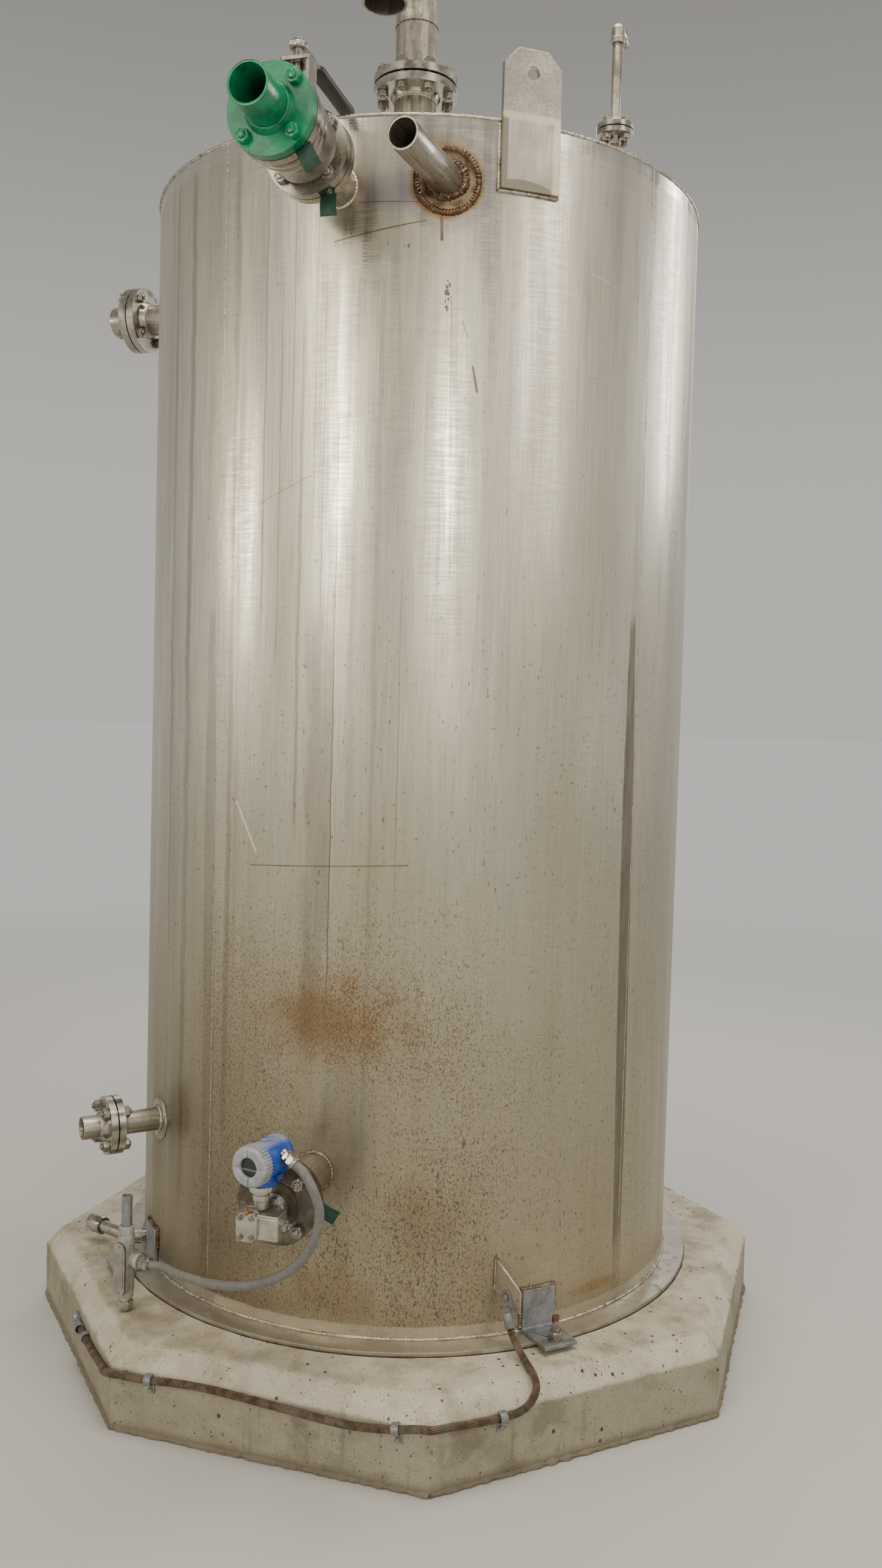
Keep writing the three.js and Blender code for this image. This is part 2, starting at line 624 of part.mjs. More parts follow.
// small roof branch: riser with an elbow at its top
const small = frame(upon(SMALL_X, SMALL_Y, 0));
const smallFoot = roofZ(SMALL_X, SMALL_Y) - 22;
const smallNeck = pipe(PIPE_S, smallFoot, SMALL_FACE_Z - 4).add(flange(PIPE_S, SMALL_FACE_Z, -1));
piece('small_nozzle', smallNeck, 'stainless', small);
const smallOut = outward(0, 0, 0, SMALL_DIR).setPosition(0, 0, SMALL_TOP);
const elbowBall = new THREE.SphereGeometry(19, 16, 8);
elbowBall.translate(0, 0, SMALL_TOP);
const riser = flange(PIPE_S, SMALL_FACE_Z + GAP, 1)
  .add(rod(PIPE_S.od / 2, SMALL_FACE_Z + 6, SMALL_TOP, SMALL_SIDES))
  .add(rod(19, SMALL_TOP - 34, SMALL_TOP, SMALL_SIDES))
  .add(solid(elbowBall))
  .add(moved(rod(19, 0, 34, SMALL_SIDES), smallOut))
  .add(moved(rod(PIPE_S.od / 2, 0, 78, SMALL_SIDES), smallOut))
  .subtract(rod(PIPE_S.od / 2 - PIPE_S.wall, SMALL_FACE_Z - 10, SMALL_TOP, SMALL_SIDES))
  .subtract(moved(rod(PIPE_S.od / 2 - PIPE_S.wall, -8, 100, SMALL_SIDES), smallOut));
piece('small_riser', riser, 'stainless', small);

// anchor clips: angles welded to the wall and bolted down outside the base ring
const toWall = new THREE.Matrix4().makeBasis(
  new THREE.Vector3(0, 0, 1), new THREE.Vector3(0, 1, 0), new THREE.Vector3(-1, 0, 0),
);
const angle = moved(plate([
  [GAP, 0], [ANCHOR_FOOT, 0], [ANCHOR_FOOT, ANCHOR_T], [ANCHOR_T + GAP, ANCHOR_T],
  [ANCHOR_T + GAP, ANCHOR_LEG], [GAP, ANCHOR_LEG],
], -ANCHOR_W / 2, ANCHOR_W / 2), toWall)
  .subtract(upright(STUD_HOLE_R, -5, 20, 12, 0, STUD_AT));
ANCHOR_PHI.forEach((phi, i) => {
  piece(`anchor_clip_${i + 1}`, angle, 'galvanised', frame(outward(phi, baseTop + GAP)));
});

// earthing: tab on the wall, cable lug, and the bare cable clipped along the plinth
const tabAxis = outward(TAB_PHI, 0, TANK_R + 1, TAB_DIR);
const tab = moved(plate([[-6, 411], [-6, 330], [80, 292], [80, 350]], -3, 3), toWall)
  .subtract(moved(drum(TANK_R + GAP), tabAxis.clone().invert()));
piece('earth_tab', tab, 'stainless', frame(tabAxis));

// cable lug on the tab's left face, tilted outwards and bored for the cable
const lugAxis = tabAxis.clone()
  .multiply(new THREE.Matrix4().makeTranslation(-3 - GAP, 328, 40))
  .multiply(new THREE.Matrix4().makeRotationX(rad(-20)));
const cableLug = box(-5, 0, -30, 15, -13, 13)
  .add(box(-18, 0, -42, -22, -9, 9))
  .add(upright(12, -70, -32, 16, -13, 0))
  .subtract(upright(CABLE_R + 0.9, -80, -46, 16, -13, 0));
piece('earth_lug', cableLug, 'bright', frame(lugAxis));

// frame on a side of the plinth: X outwards, Y up; faces count round from the front right
const octagonApothem = PLINTH_R * Math.cos(rad(22.5));
function faceAxis(face, along, z) {
  const a = rad(-90 + PLINTH_TURN + 22.5 + 45 * face);
  const m = new THREE.Matrix4().makeBasis(
    new THREE.Vector3(Math.cos(a), Math.sin(a), 0),
    new THREE.Vector3(0, 0, 1),
    new THREE.Vector3(Math.sin(a), -Math.cos(a), 0),
  );
  const x = octagonApothem * Math.cos(a) - along * Math.sin(a);
  const y = octagonApothem * Math.sin(a) + along * Math.cos(a);
  return m.setPosition(x, y, z);
}

// earthing cable: from the lug over the edge and along three sides, held by four clips
const proud = CABLE_R + GAP;
const onFace = (face, along, z, out = proud) => (
  new THREE.Vector3(out, 0, 0).applyMatrix4(faceAxis(face, along, z))
);
const cableRoute = [
  new THREE.Vector3(-13, -50, 0).applyMatrix4(lugAxis),
  new THREE.Vector3(-13, -74, 0).applyMatrix4(lugAxis),
  new THREE.Vector3(273, -811, 238),
  new THREE.Vector3(287, -847, 222),
  new THREE.Vector3(300, -884, 215),
  new THREE.Vector3(309, -913, 208),
  new THREE.Vector3(312, -937, 194),
  new THREE.Vector3(303, -947, 174),
  new THREE.Vector3(287, -954, 157),
  onFace(0, -192, 148),
  onFace(0, -225, 147),
  onFace(0, -296, 150),
  onFace(0, -360, 156, 10),
  new THREE.Vector3(74, -1061, 161),
  onFace(-1, 372, 156, 10),
  onFace(-1, 324, 146),
  onFace(-1, 252, 136),
  onFace(-1, 190, 134),
  onFace(-1, 29, 143),
  onFace(-1, -143, 152),
  onFace(-1, -236, 149),
  onFace(-1, -294, 144),
  onFace(-1, -352, 143, 10),
  new THREE.Vector3(-702, -803, 146),
  onFace(-2, 360, 135, 10),
  onFace(-2, 303, 127),
  onFace(-2, 220, 121),
  onFace(-2, 165, 121),
  onFace(-2, 100, 121),
];
const cable = swept(new THREE.CatmullRomCurve3(cableRoute), CABLE_R, 66, 8);
piece('earth_cable', cable, 'copper');

// cable clips: straps screwed to the plinth, tilted with the cable
const STRAP_IN = CABLE_R + 1.4;
const STRAP_OUT = STRAP_IN + 2.2;
const strapOutline = [[GAP, STRAP_IN], [GAP, STRAP_OUT]];
for (let i = 0; i <= 6; i += 1) {
  const t = rad(90 - 30 * i);
  strapOutline.push([proud + STRAP_OUT * Math.cos(t), STRAP_OUT * Math.sin(t)]);
}
for (let i = 6; i >= 0; i -= 1) {
  const t = rad(90 - 30 * i);
  strapOutline.push([proud + STRAP_IN * Math.cos(t), STRAP_IN * Math.sin(t)]);
}
const strap = plate(strapOutline, -9, 9)
  .add(box(GAP, proud + 1, -STRAP_OUT, -STRAP_IN, -9, 9))
  .add(box(GAP, GAP + 2.2, -36, -STRAP_IN, -9, 9));
const CLIPS = [[0, -225, 147, 0], [-1, 324, 146, 9.5], [-1, -294, 144, 3], [-2, 165, 121, 0]];
CLIPS.forEach(([face, along, z, tilt], i) => {
  const place = faceAxis(face, along, z).multiply(new THREE.Matrix4().makeRotationX(rad(tilt)));
  piece(`cable_clip_${i + 1}`, strap, 'galvanised', frame(place));
});

// lug at the far end of the cable, bolted to the plinth
const endLug = box(GAP, 5, -12, 12, 26, 68)
  .add(box(GAP, 18, -9, 9, 20, 34))
  .add(rod(12.5, -14, 24, 16, proud + 3.6, 0))
  .subtract(rod(CABLE_R + 0.9, -20, 8, 16, proud, 0));
piece('earth_end_lug', endLug, 'bright', frame(faceAxis(-2, 100, 121)));

export default group;
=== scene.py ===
from collections import namedtuple
from math import asin, atan2, copysign, cos, exp, hypot, pi, radians, sin, sqrt

import bmesh
import bpy
from mathutils import Matrix, Vector, noise
from mathutils.geometry import tessellate_polygon


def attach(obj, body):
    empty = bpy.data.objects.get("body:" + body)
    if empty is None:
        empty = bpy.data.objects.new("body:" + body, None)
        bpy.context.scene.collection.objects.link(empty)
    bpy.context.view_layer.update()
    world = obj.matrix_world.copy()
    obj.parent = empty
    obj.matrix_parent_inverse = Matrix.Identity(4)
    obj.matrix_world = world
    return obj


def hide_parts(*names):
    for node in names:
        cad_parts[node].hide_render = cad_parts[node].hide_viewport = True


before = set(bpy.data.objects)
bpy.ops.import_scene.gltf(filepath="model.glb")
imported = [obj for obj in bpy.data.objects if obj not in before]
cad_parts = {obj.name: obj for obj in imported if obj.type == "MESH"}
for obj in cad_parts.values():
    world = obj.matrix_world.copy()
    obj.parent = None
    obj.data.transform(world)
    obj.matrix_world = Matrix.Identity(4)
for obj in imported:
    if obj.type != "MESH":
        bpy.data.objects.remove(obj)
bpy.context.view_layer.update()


# Camera
# It stands where the photograph was taken, 1.72 m above the floor and 3.83 m from
# the tank's axis, and looks a little to the right and down.
def at(x, y, z):
    return Matrix.Translation((x, y, z))


def tilt(degrees, axis):
    return Matrix.Rotation(radians(degrees), 4, axis)


camera_data = bpy.data.cameras.new("camera")
camera_data.sensor_width = 36
camera_data.lens = 29.8
camera = bpy.data.objects.new("camera", camera_data)
bpy.context.scene.collection.objects.link(camera)
camera.matrix_world = at(0, -3.832, 1.7164) @ tilt(-1.11, "Z") @ tilt(90 - 2.82, "X") @ tilt(1.54, "Z")
bpy.context.scene.camera = camera


# Earthing cable
# Bare stranded copper, twelve outer wires laid over a core, oxidised brown. It hangs
# from the lug on the wall, turns over the plinth's edge and runs along three sides.
WALL_R = 0.762  # the wall's outer radius
CORNER, FIRST_CORNER = 1.051, -90 + 3.8  # the plinth's corners: reach and direction


def turns(count):
    return [2 * pi * i / count for i in range(count)]


def polar(r, a, x=0.0, y=0.0):
    return x + r * cos(a), y + r * sin(a)


def joined(*parts):
    verts, faces = [], []
    for part_verts, part_faces, *place in parts:
        start = len(verts)
        matrix = place[0] if place else Matrix()
        verts += [matrix @ Vector(v) for v in part_verts]
        faces += [[start + i for i in face] for face in part_faces]
    return verts, faces


# rings of points with quads between them, and a face over each end
def skin(rows, closed=False, capped=True):
    count, sides = len(rows), len(rows[0])
    faces = []
    for i in range(count if closed else count - 1):
        start, end = i * sides, (i + 1) % count * sides
        for k in range(sides):
            m = (k + 1) % sides
            faces.append((start + k, start + m, end + m, end + k))
    if capped and not closed:
        faces += [tuple(range(sides)), tuple(range((count - 1) * sides, count * sides))]
    return [point for row in rows for point in row], faces


# one named object: its slot, which is not used, the CAD node that it stands for, the body that it
# rides on, the angle above which an edge stays sharp, and how far the edges are eased
def piece(name, part, material, slot, matrix=Matrix(), stands_for=None, body="tank",
          angle=35, ease=0, steps=2):
    mesh = bpy.data.meshes.new(name)
    mesh.from_pydata(part[0], [], part[1])
    work = bmesh.new()
    work.from_mesh(mesh)
    bmesh.ops.remove_doubles(work, verts=work.verts, dist=1e-6)
    bmesh.ops.recalc_face_normals(work, faces=work.faces)
    work.to_mesh(mesh)
    work.free()
    mesh.shade_smooth()
    mesh.set_sharp_from_angle(angle=radians(angle))
    mesh.materials.append(material)
    made = bpy.data.objects.new(name, mesh)
    bpy.context.scene.collection.objects.link(made)
    made.matrix_world = matrix
    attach(made, body)
    if stands_for:
        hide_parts(stands_for)
    if ease:
        edge = made.modifiers.new("edge", "BEVEL")
        edge.width, edge.segments = ease, steps
        edge.limit_method = "ANGLE"
        edge.angle_limit = radians(40)
        edge.harden_normals = True
    return made


# a smooth line through the points, in steps of about this length
def route(points, step):
    points = [Vector(p) for p in points]
    points = [2 * points[0] - points[1], *points, 2 * points[-1] - points[-2]]
    out = []
    for p0, p1, p2, p3 in zip(points, points[1:], points[2:], points[3:]):
        d01 = max((p1 - p0).length, 1e-6) ** 0.5
        d12 = (p2 - p1).length ** 0.5
        d23 = max((p3 - p2).length, 1e-6) ** 0.5
        m1 = (p1 - p0) / d01 - (p2 - p0) / (d01 + d12) + (p2 - p1) / d12
        m2 = (p2 - p1) / d12 - (p3 - p1) / (d12 + d23) + (p3 - p2) / d23
        m1, m2 = m1 * d12, m2 * d12
        count = max(1, round((p2 - p1).length / step))
        for i in range(count):
            t = i / count
            out.append(
                (2 * t**3 - 3 * t**2 + 1) * p1 + (t**3 - 2 * t**2 + t) * m1
                + (3 * t**2 - 2 * t**3) * p2 + (t**3 - t**2) * m2
            )
    return out + [points[-2]]


# at each point of a line: the point and two directions across the line that don't twist
def carried_frames(points, closed=False):
    count = len(points)
    frames = []
    side = None
    for i, p in enumerate(points):
        before = points[i - 1] if closed or i else p
        after = points[(i + 1) % count] if closed or i < count - 1 else p
        along = (after - before).normalized()
        if side is None:
            side = along.orthogonal().normalized()
        side = (side - along * side.dot(along)).normalized()
        frames.append((p, side, along.cross(side)))
    return frames


def around(place, r, sides):
    p, side, up = place
    return [p + side * r * cos(a) + up * r * sin(a) for a in turns(sides)]


def swept(points, radius, sides=12, closed=False):
    radii = radius if isinstance(radius, list) else [radius] * len(points)
    places = carried_frames(points, closed)
    return skin([around(place, r, sides) for place, r in zip(places, radii)], closed)


def filled(made, inputs):
    for key, value in inputs.items():
        if isinstance(value, Value):
            made.id_data.links.new(value.socket, made.inputs[key])
        else:
            made.inputs[key].default_value = value
    return made


def node(tree, kind, inputs=None, **settings):
    made = tree.nodes.new("ShaderNode" + kind)
    for key, value in settings.items():
        setattr(made, key, value)
    return filled(made, inputs or {})


# something measured in a shader; each sum with it becomes one math node
class Value:
    def __init__(self, socket):
        self.socket, self.tree = socket, socket.id_data

    def sum(self, operation, a, b=0.0, clamp=False):
        made = node(self.tree, "Math", {0: a, 1: b}, operation=operation, use_clamp=clamp)
        return Value(made.outputs[0])

    def __add__(self, other):
        return self.sum("ADD", self, other)

    def __sub__(self, other):
        return self.sum("SUBTRACT", self, other)

    def __rsub__(self, other):
        return self.sum("SUBTRACT", other, self)

    def __mul__(self, other):
        return self.sum("MULTIPLY", self, other)

    def __truediv__(self, other):
        return self.sum("DIVIDE", self, other)

    def __abs__(self):
        return self.sum("ABSOLUTE", self)

    def root(self):
        return self.sum("SQRT", self)

    def most(self, other):
        return self.sum("MAXIMUM", self, other)

    def between(self, low, high, to_low=0.0, to_high=1.0):
        values = {"Value": self, "From Min": low, "From Max": high, "To Min": to_low, "To Max": to_high}
        made = node(self.tree, "MapRange", values, interpolation_type="SMOOTHSTEP")
        return Value(made.outputs["Result"])


def local(tree):
    return Value(node(tree, "TexCoord").outputs["Object"])


def axes(place):
    return [Value(socket) for socket in node(place.tree, "SeparateXYZ", {0: place}).outputs]


def grain(place, scale, detail=4, roughness=0.55, stretch=None):
    if stretch:
        place = Value(node(place.tree, "Mapping", {"Vector": place, "Scale": stretch}).outputs[0])
    values = {"Vector": place, "Scale": scale, "Detail": detail, "Roughness": roughness}
    return Value(node(place.tree, "TexNoise", values).outputs["Fac"])


def mixed(factor, *tones):
    a, b = ((*tone, 1) if isinstance(tone, tuple) else tone for tone in tones)
    return Value(node(factor.tree, "Mix", {0: factor, 6: a, 7: b}, data_type="RGBA").outputs[2])


def layered(tone, *layers):
    for mask, colour in layers:
        tone = mixed(mask, tone, colour)
    return tone


def new_finish(name):
    made = bpy.data.materials.new(name)
    made.use_nodes = True
    return made, local(made.node_tree)


def finished(material, tone, roughness, metallic=0.0, relief=None, distance=0.0, more={}):
    values = {"Base Color": tone, "Roughness": roughness, "Metallic": metallic, **more}
    if relief:
        bump = {"Height": relief, "Distance": distance, "Strength": 1.0}
        values["Normal"] = Value(node(material.node_tree, "Bump", bump).outputs["Normal"])
    filled(material.node_tree.nodes["Principled BSDF"], values)
    return material


# a finish with clouds of two tones, stains on them, and a finely pitted surface
def clouded(name, size, dark, light, gloss, metallic=0.0, stains=(), relief=(400, 4, 0.0003),
            limits=(0.36, 0.64)):
    made, place = new_finish(name)
    clouds = grain(place, size, 6, 0.62)
    tone = mixed(clouds.between(*limits), dark, light)
    for stain_size, low, high, depth, colour in stains:
        tone = mixed(grain(place, stain_size, 6, 0.68).between(low, high, 0, depth), tone, colour)
    pitted = grain(place, relief[0], relief[1])
    return finished(made, tone, clouds.between(0.3, 0.7, *gloss), metallic, pitted, relief[2])


copper = clouded("oxidised_copper", 38, (0.07, 0.043, 0.028), (0.16, 0.108, 0.074), (0.7, 0.45), 0.5,
                 [(240, 0.56, 0.74, 0.7, (0.27, 0.175, 0.115)), (13, 0.5, 0.68, 0.8, (0.135, 0.14, 0.11))],
                 (900, 2, 0.0002))


# x runs to the right, y up and z out of the wall, at so many degrees round it
def on_wall(phi, z, r=WALL_R, facing=None):
    a = radians(phi)
    d = radians(phi if facing is None else facing)
    return Matrix((
        (cos(d), 0, sin(d), r * sin(a)),
        (sin(d), 0, -cos(d), -r * cos(a)),
        (0, 1, 0, z),
        (0, 0, 0, 1),
    ))


# the same on a side of the plinth, so far along it and so far out of it
def on_side(side, along, z, out=0.0):
    a = radians(FIRST_CORNER + 22.5 + 45 * side)
    reach = CORNER * cos(radians(22.5)) + out
    return Matrix((
        (cos(a), 0, sin(a), reach * cos(a) - along * sin(a)),
        (sin(a), 0, -cos(a), reach * sin(a) + along * cos(a)),
        (0, 1, 0, z),
        (0, 0, 0, 1),
    ))


def side_points(side, *points):
    return [on_side(side, *point).translation for point in points]


tab_place = on_wall(17.3, 0, 0.763, 45)
lug_place = tab_place @ at(-0.0033, 0.328, 0.04) @ tilt(-20, "X")
CABLE, WIRE, STEP = 0.009, 0.0019, 0.006  # radii of the cable and a wire, and the step along it
LAY = 0.19  # length in which a wire turns once round the core
HELD, LOOSE = 0.0093, 0.01  # how far the cable's middle is from the concrete
cable_route = [
    lug_place @ Vector((-0.013, -0.05, 0)), lug_place @ Vector((-0.013, -0.074, 0)),
    (0.273, -0.811, 0.238), (0.287, -0.847, 0.222), (0.3, -0.884, 0.215),
    (0.309, -0.913, 0.208), (0.312, -0.937, 0.194), (0.303, -0.947, 0.174), (0.287, -0.954, 0.157),
    *side_points(0, (-0.192, 0.148, HELD), (-0.225, 0.147, HELD), (-0.296, 0.15, HELD),
                 (-0.36, 0.156, LOOSE)),
    (0.074, -1.061, 0.161),
    *side_points(-1, (0.372, 0.156, LOOSE), (0.324, 0.146, HELD), (0.252, 0.136, HELD),
                 (0.19, 0.134, HELD), (0.029, 0.143, HELD), (-0.143, 0.152, HELD),
                 (-0.236, 0.149, HELD), (-0.294, 0.144, HELD), (-0.352, 0.143, LOOSE)),
    (-0.702, -0.803, 0.146),
    *side_points(-2, (0.36, 0.135, LOOSE), (0.303, 0.127, HELD), (0.22, 0.121, HELD),
                 (0.165, 0.121, HELD), (0.1, 0.121, HELD)),
]
middle = route(cable_route, STEP)
wires = [swept(middle, CABLE - 0.0022, 14)]
for wire in range(12):
    strand = []
    for i, (p, side, up) in enumerate(carried_frames(middle)):
        a = 2 * pi * (wire / 12 + i * STEP / LAY)
        strand.append(p + (side * cos(a) + up * sin(a)) * (CABLE - WIRE))
    wires.append(swept(strand, WIRE, 6))
piece("stranded_cable", joined(*wires), copper, "copper", stands_for="earth_cable", angle=80)


# Flexible conduit
# Liquid-tight conduit with a grey plastic sheath over a wound steel core, whose turns
# show through as faint ribs. It runs from the transmitter's gland to the conduit body.
head_place = on_wall(-28, 0).to_3x3().to_4x4()
head_place.translation = on_wall(-17, 0.616) @ Vector((-0.005, 0.122, 0.3))
gland_turn = Vector((0, 0, 1)).rotation_difference(
    Vector((cos(radians(-32)), sin(radians(-32)), 0))
)
gland_place = head_place @ at(0.034, 0.02, -0.022) @ gland_turn.to_matrix().to_4x4()
box_gland_place = on_wall(62, 0).to_3x3().to_4x4()
box_gland_place.translation = (-0.7, -0.603, 0.338)
conduit_route = [
    *(gland_place @ Vector((0, 0, z)) for z in (0.03, 0.0446, 0.0666)),
    (-0.202, -1.052, 0.69), (-0.186, -1.052, 0.639), (-0.196, -1.044, 0.577),
    (-0.236, -1.022, 0.507), (-0.302, -0.99, 0.457), (-0.372, -0.945, 0.424),
    (-0.445, -0.886, 0.402), (-0.5, -0.803, 0.376), (-0.554, -0.72, 0.352),
    box_gland_place @ Vector((0, 0.003, 0.1086)),
    *(box_gland_place @ Vector((0, 0, z)) for z in (0.0906, 0.062)),
]
sheath = clouded("grey_sheath", 70, (0.135, 0.131, 0.122), (0.17, 0.165, 0.155), (0.56, 0.44), 0.0,
                 [(11, 0.5, 0.72, 0.5, (0.15, 0.12, 0.09))], (500, 3, 0.0001))
core = route(conduit_route, 0.0016)
ribs = [0.0109 + 0.00007 * sin(2 * pi * i / 4) for i in range(len(core))]
piece("sheathed_conduit", swept(core, ribs, 20), sheath, "conduit_sheath", stands_for="level_conduit", angle=60)


# Plinth
# An octagon of cast concrete with a chamfered upper edge, stained and pitted by air
# bubbles. Its foot is rough where mortar was run along the floor.
def measured(operation, a, b=None, output=0):
    inputs = {0: a} if b is None else {0: a, 1: b}
    return Value(node(a.tree, "VectorMath", inputs, operation=operation).outputs[output])


concrete, place = new_finish("cast_concrete")
height = axes(place)[2]
blotch = grain(place, 13, 8, 0.68)
sand = grain(place, 300, 4, 0.7)
runs = grain(place, 26, 5, 0.65, (1, 1, 0.06))
side = height.between(0.16, 0.148)
edge = height.between(0.148, 0.16) * height.between(0.2025, 0.196)
soaked = grain(place, 5.5, 7, 0.7).between(0.49, 0.63)
tone = mixed(grain(place, 3.2, 6, 0.6).between(0.35, 0.68), (0.355, 0.31, 0.22), (0.5, 0.45, 0.345))
tone = layered(
    tone,
    (blotch.between(0.44, 0.66, 0, 0.6), (0.57, 0.525, 0.43)),
    (blotch.between(0.47, 0.33, 0, 0.6), (0.26, 0.215, 0.14)),
    (side * 0.62, (0.265, 0.25, 0.17)),
    (side * runs.between(0.58, 0.7, 0, 0.42), (0.13, 0.11, 0.08)),
    (side * runs.between(0.42, 0.32, 0, 0.35), (0.42, 0.4, 0.32)),
    # painted light: the chamfer is lighter than the top and the sides, for the light that it catches
    (edge * 0.34, (0.66, 0.61, 0.5)),
    (soaked * side.between(0, 1, 0.32, 0.62), (0.155, 0.14, 0.095)),
    (sand.between(0.38, 0.7, 0, 0.38), (0.15, 0.125, 0.09)),
)
pits = 0.0
for size, thick, seen in [(34, 0.17, 0.5), (70, 0.15, 0.5), (130, 0.16, 0.46)]:
    cells = Value(node(place.tree, "Mapping", {"Vector": place, "Scale": (1, 1, 0.75)}).outputs[0])
    cells = node(place.tree, "TexVoronoi", {"Vector": cells, "Scale": size})
    hole = Value(cells.outputs["Distance"]).between(thick, thick * 0.55)
    hole = hole * grain(place, size * 0.35, 2).between(seen, seen + 0.08)
    pits = hole.most(pits)
# hairline cracks that climb the sides
wander = grain(place, 30, 4) - 0.5
for x, y in ((0.64, -0.757), (-0.24, -0.975), (0.985, 0.02), (-0.5, 0.84)):
    off = measured("MULTIPLY", measured("SUBTRACT", place, (x, y, 0)), (1, 1, 0))
    off = abs(measured("LENGTH", off, output="Value") + wander * 0.05)
    pits = off.between(0.002, 0.0006, 0, 0.8).most(pits)
tone = layered(tone, (pits, (0.06, 0.048, 0.033)), (height.between(0.035, 0.004, 0, 0.75), (0.13, 0.1, 0.065)))
finished(concrete, tone, blotch.between(0.35, 0.7, 0.95, 0.75), 0.0, sand * 0.25 - pits, 0.0022)


def plinth_side(k, corner, z, count):
    first, last = (Vector((corner * cos(a), corner * sin(a), z))
                   for a in (radians(FIRST_CORNER + 45 * (k + i)) for i in (0, 1)))
    return [first.lerp(last, i / count) for i in range(count + 1)]


PLINTH_TOP, CHAMFER = 0.204, 0.154  # heights of the top and of the chamfer's lower edge
TOP_CORNER = CORNER - 0.045 / cos(radians(22.5))
levels = [(CORNER, CHAMFER * i / 16) for i in range(16)]
levels += [(CORNER, 0.1505), (CORNER - 0.0006, 0.1528), (CORNER - 0.0026, 0.1552)]
levels += [(CORNER + (TOP_CORNER - CORNER) * t, CHAMFER + 0.05 * t) for t in (0.15, 0.35, 0.55, 0.75, 0.92)]
levels += [(TOP_CORNER - 0.0015, 0.2034), (TOP_CORNER - 0.004, 0.2039)]
levels += [(TOP_CORNER - inset, PLINTH_TOP) for inset in (0.007, 0.012)]
levels += [(TOP_CORNER * t, PLINTH_TOP) for t in (0.94, 0.88, 0.82, 0.76, 0.6, 0.3)]
rows = []
for corner, z in levels:
    outer = corner > 0.9
    worn = exp(-(((z - CHAMFER) / 0.012) ** 2)) + exp(-(((z - PLINTH_TOP) / 0.008) ** 2)) * (corner > 0.95)
    row = []
    for p in [p for k in range(8) for p in plinth_side(k, corner, z, 56)[:-1]]:
        rough = noise.noise(p * 55) * 0.001 + noise.noise(p * 14) * 0.0006
        chips = max(0.0, noise.noise(p * 38 + Vector((3, 7, 1))) - 0.12) * 0.014 * worn
        inward = -p.normalized() if outer else Vector((0, 0, -1))
        inward.z = 0 if z < 0.15 else -0.5
        row.append(p + inward * (abs(rough) * 0.6 * outer + chips) if z > 0 else p)
    rows.append(row)
piece("cast_plinth", skin(rows), concrete, "concrete", stands_for="plinth", angle=28)
mortar = []
for k in range(8):
    foot = plinth_side(k, CORNER, 0.004, 160)
    radii = [max(0.002, 0.0075 + 0.0045 * noise.noise(p * 60) + 0.002 * noise.noise(p * 170)) for p in foot]
    verts, faces = swept([p - p.normalized() * 0.002 for p in foot], radii, 7)
    mortar.append(([Vector((v.x, v.y, max(v.z, 0))) for v in verts], faces))
piece("mortar_edge", joined(*mortar), concrete, "concrete", angle=70)


# Tank wall
# Four sheets of 6 mm stainless steel, brushed upright, welded at the upright seams and
# stained by years of drips. The bores of the branches are cut through them.
def effect(name, inputs, outputs):
    made = bpy.data.node_groups.new(name, "ShaderNodeTree")
    for label, kind in inputs:
        made.interface.new_socket(name=label, in_out="INPUT", socket_type=kind)
    for label in outputs:
        made.interface.new_socket(name=label, in_out="OUTPUT", socket_type="NodeSocketFloat")
    given = {socket.name: Value(socket) for socket in made.nodes.new("NodeGroupInput").outputs}
    return made, given, made.nodes.new("NodeGroupOutput")


# upright brushing: hairlines, the finer cross marks that weave through them, and
# broader streaks that are long in height
brushing, given, result = effect(
    "upright_brushing", [("Place", "NodeSocketVector"), ("Fineness", "NodeSocketFloat")],
    ["Hairlines", "Weave", "Streaks"],
)
filled(result, {
    "Hairlines": grain(given["Place"], given["Fineness"], 3, 0.6, (1, 1, 0.018)),
    "Weave": grain(given["Place"], given["Fineness"], 3, 0.6, (0.06, 0.06, 1)),
    "Streaks": grain(given["Place"], 21, 6, 0.62, (1, 1, 0.055)),
})

# specks of dirt and tea-coloured rust, a little longer than they are wide
specks, given, result = effect(
    "rust_specks", [("Place", "NodeSocketVector"), ("Size", "NodeSocketFloat"), ("Cover", "NodeSocketFloat")],
    ["Mask"],
)
limit = 0.8 - given["Cover"] * 0.25
spread = {"Value": grain(given["Place"], given["Size"], 2, 0.5, (1, 1, 0.55)),
          "From Min": limit, "From Max": limit + 0.05}
filled(result, {"Mask": Value(node(specks, "MapRange", spread, clamp=True).outputs["Result"])})


def speckled(place, size, cover):
    values = {"Place": place, "Size": size, "Cover": cover}
    return Value(node(place.tree, "Group", values, node_tree=specks).outputs["Mask"])


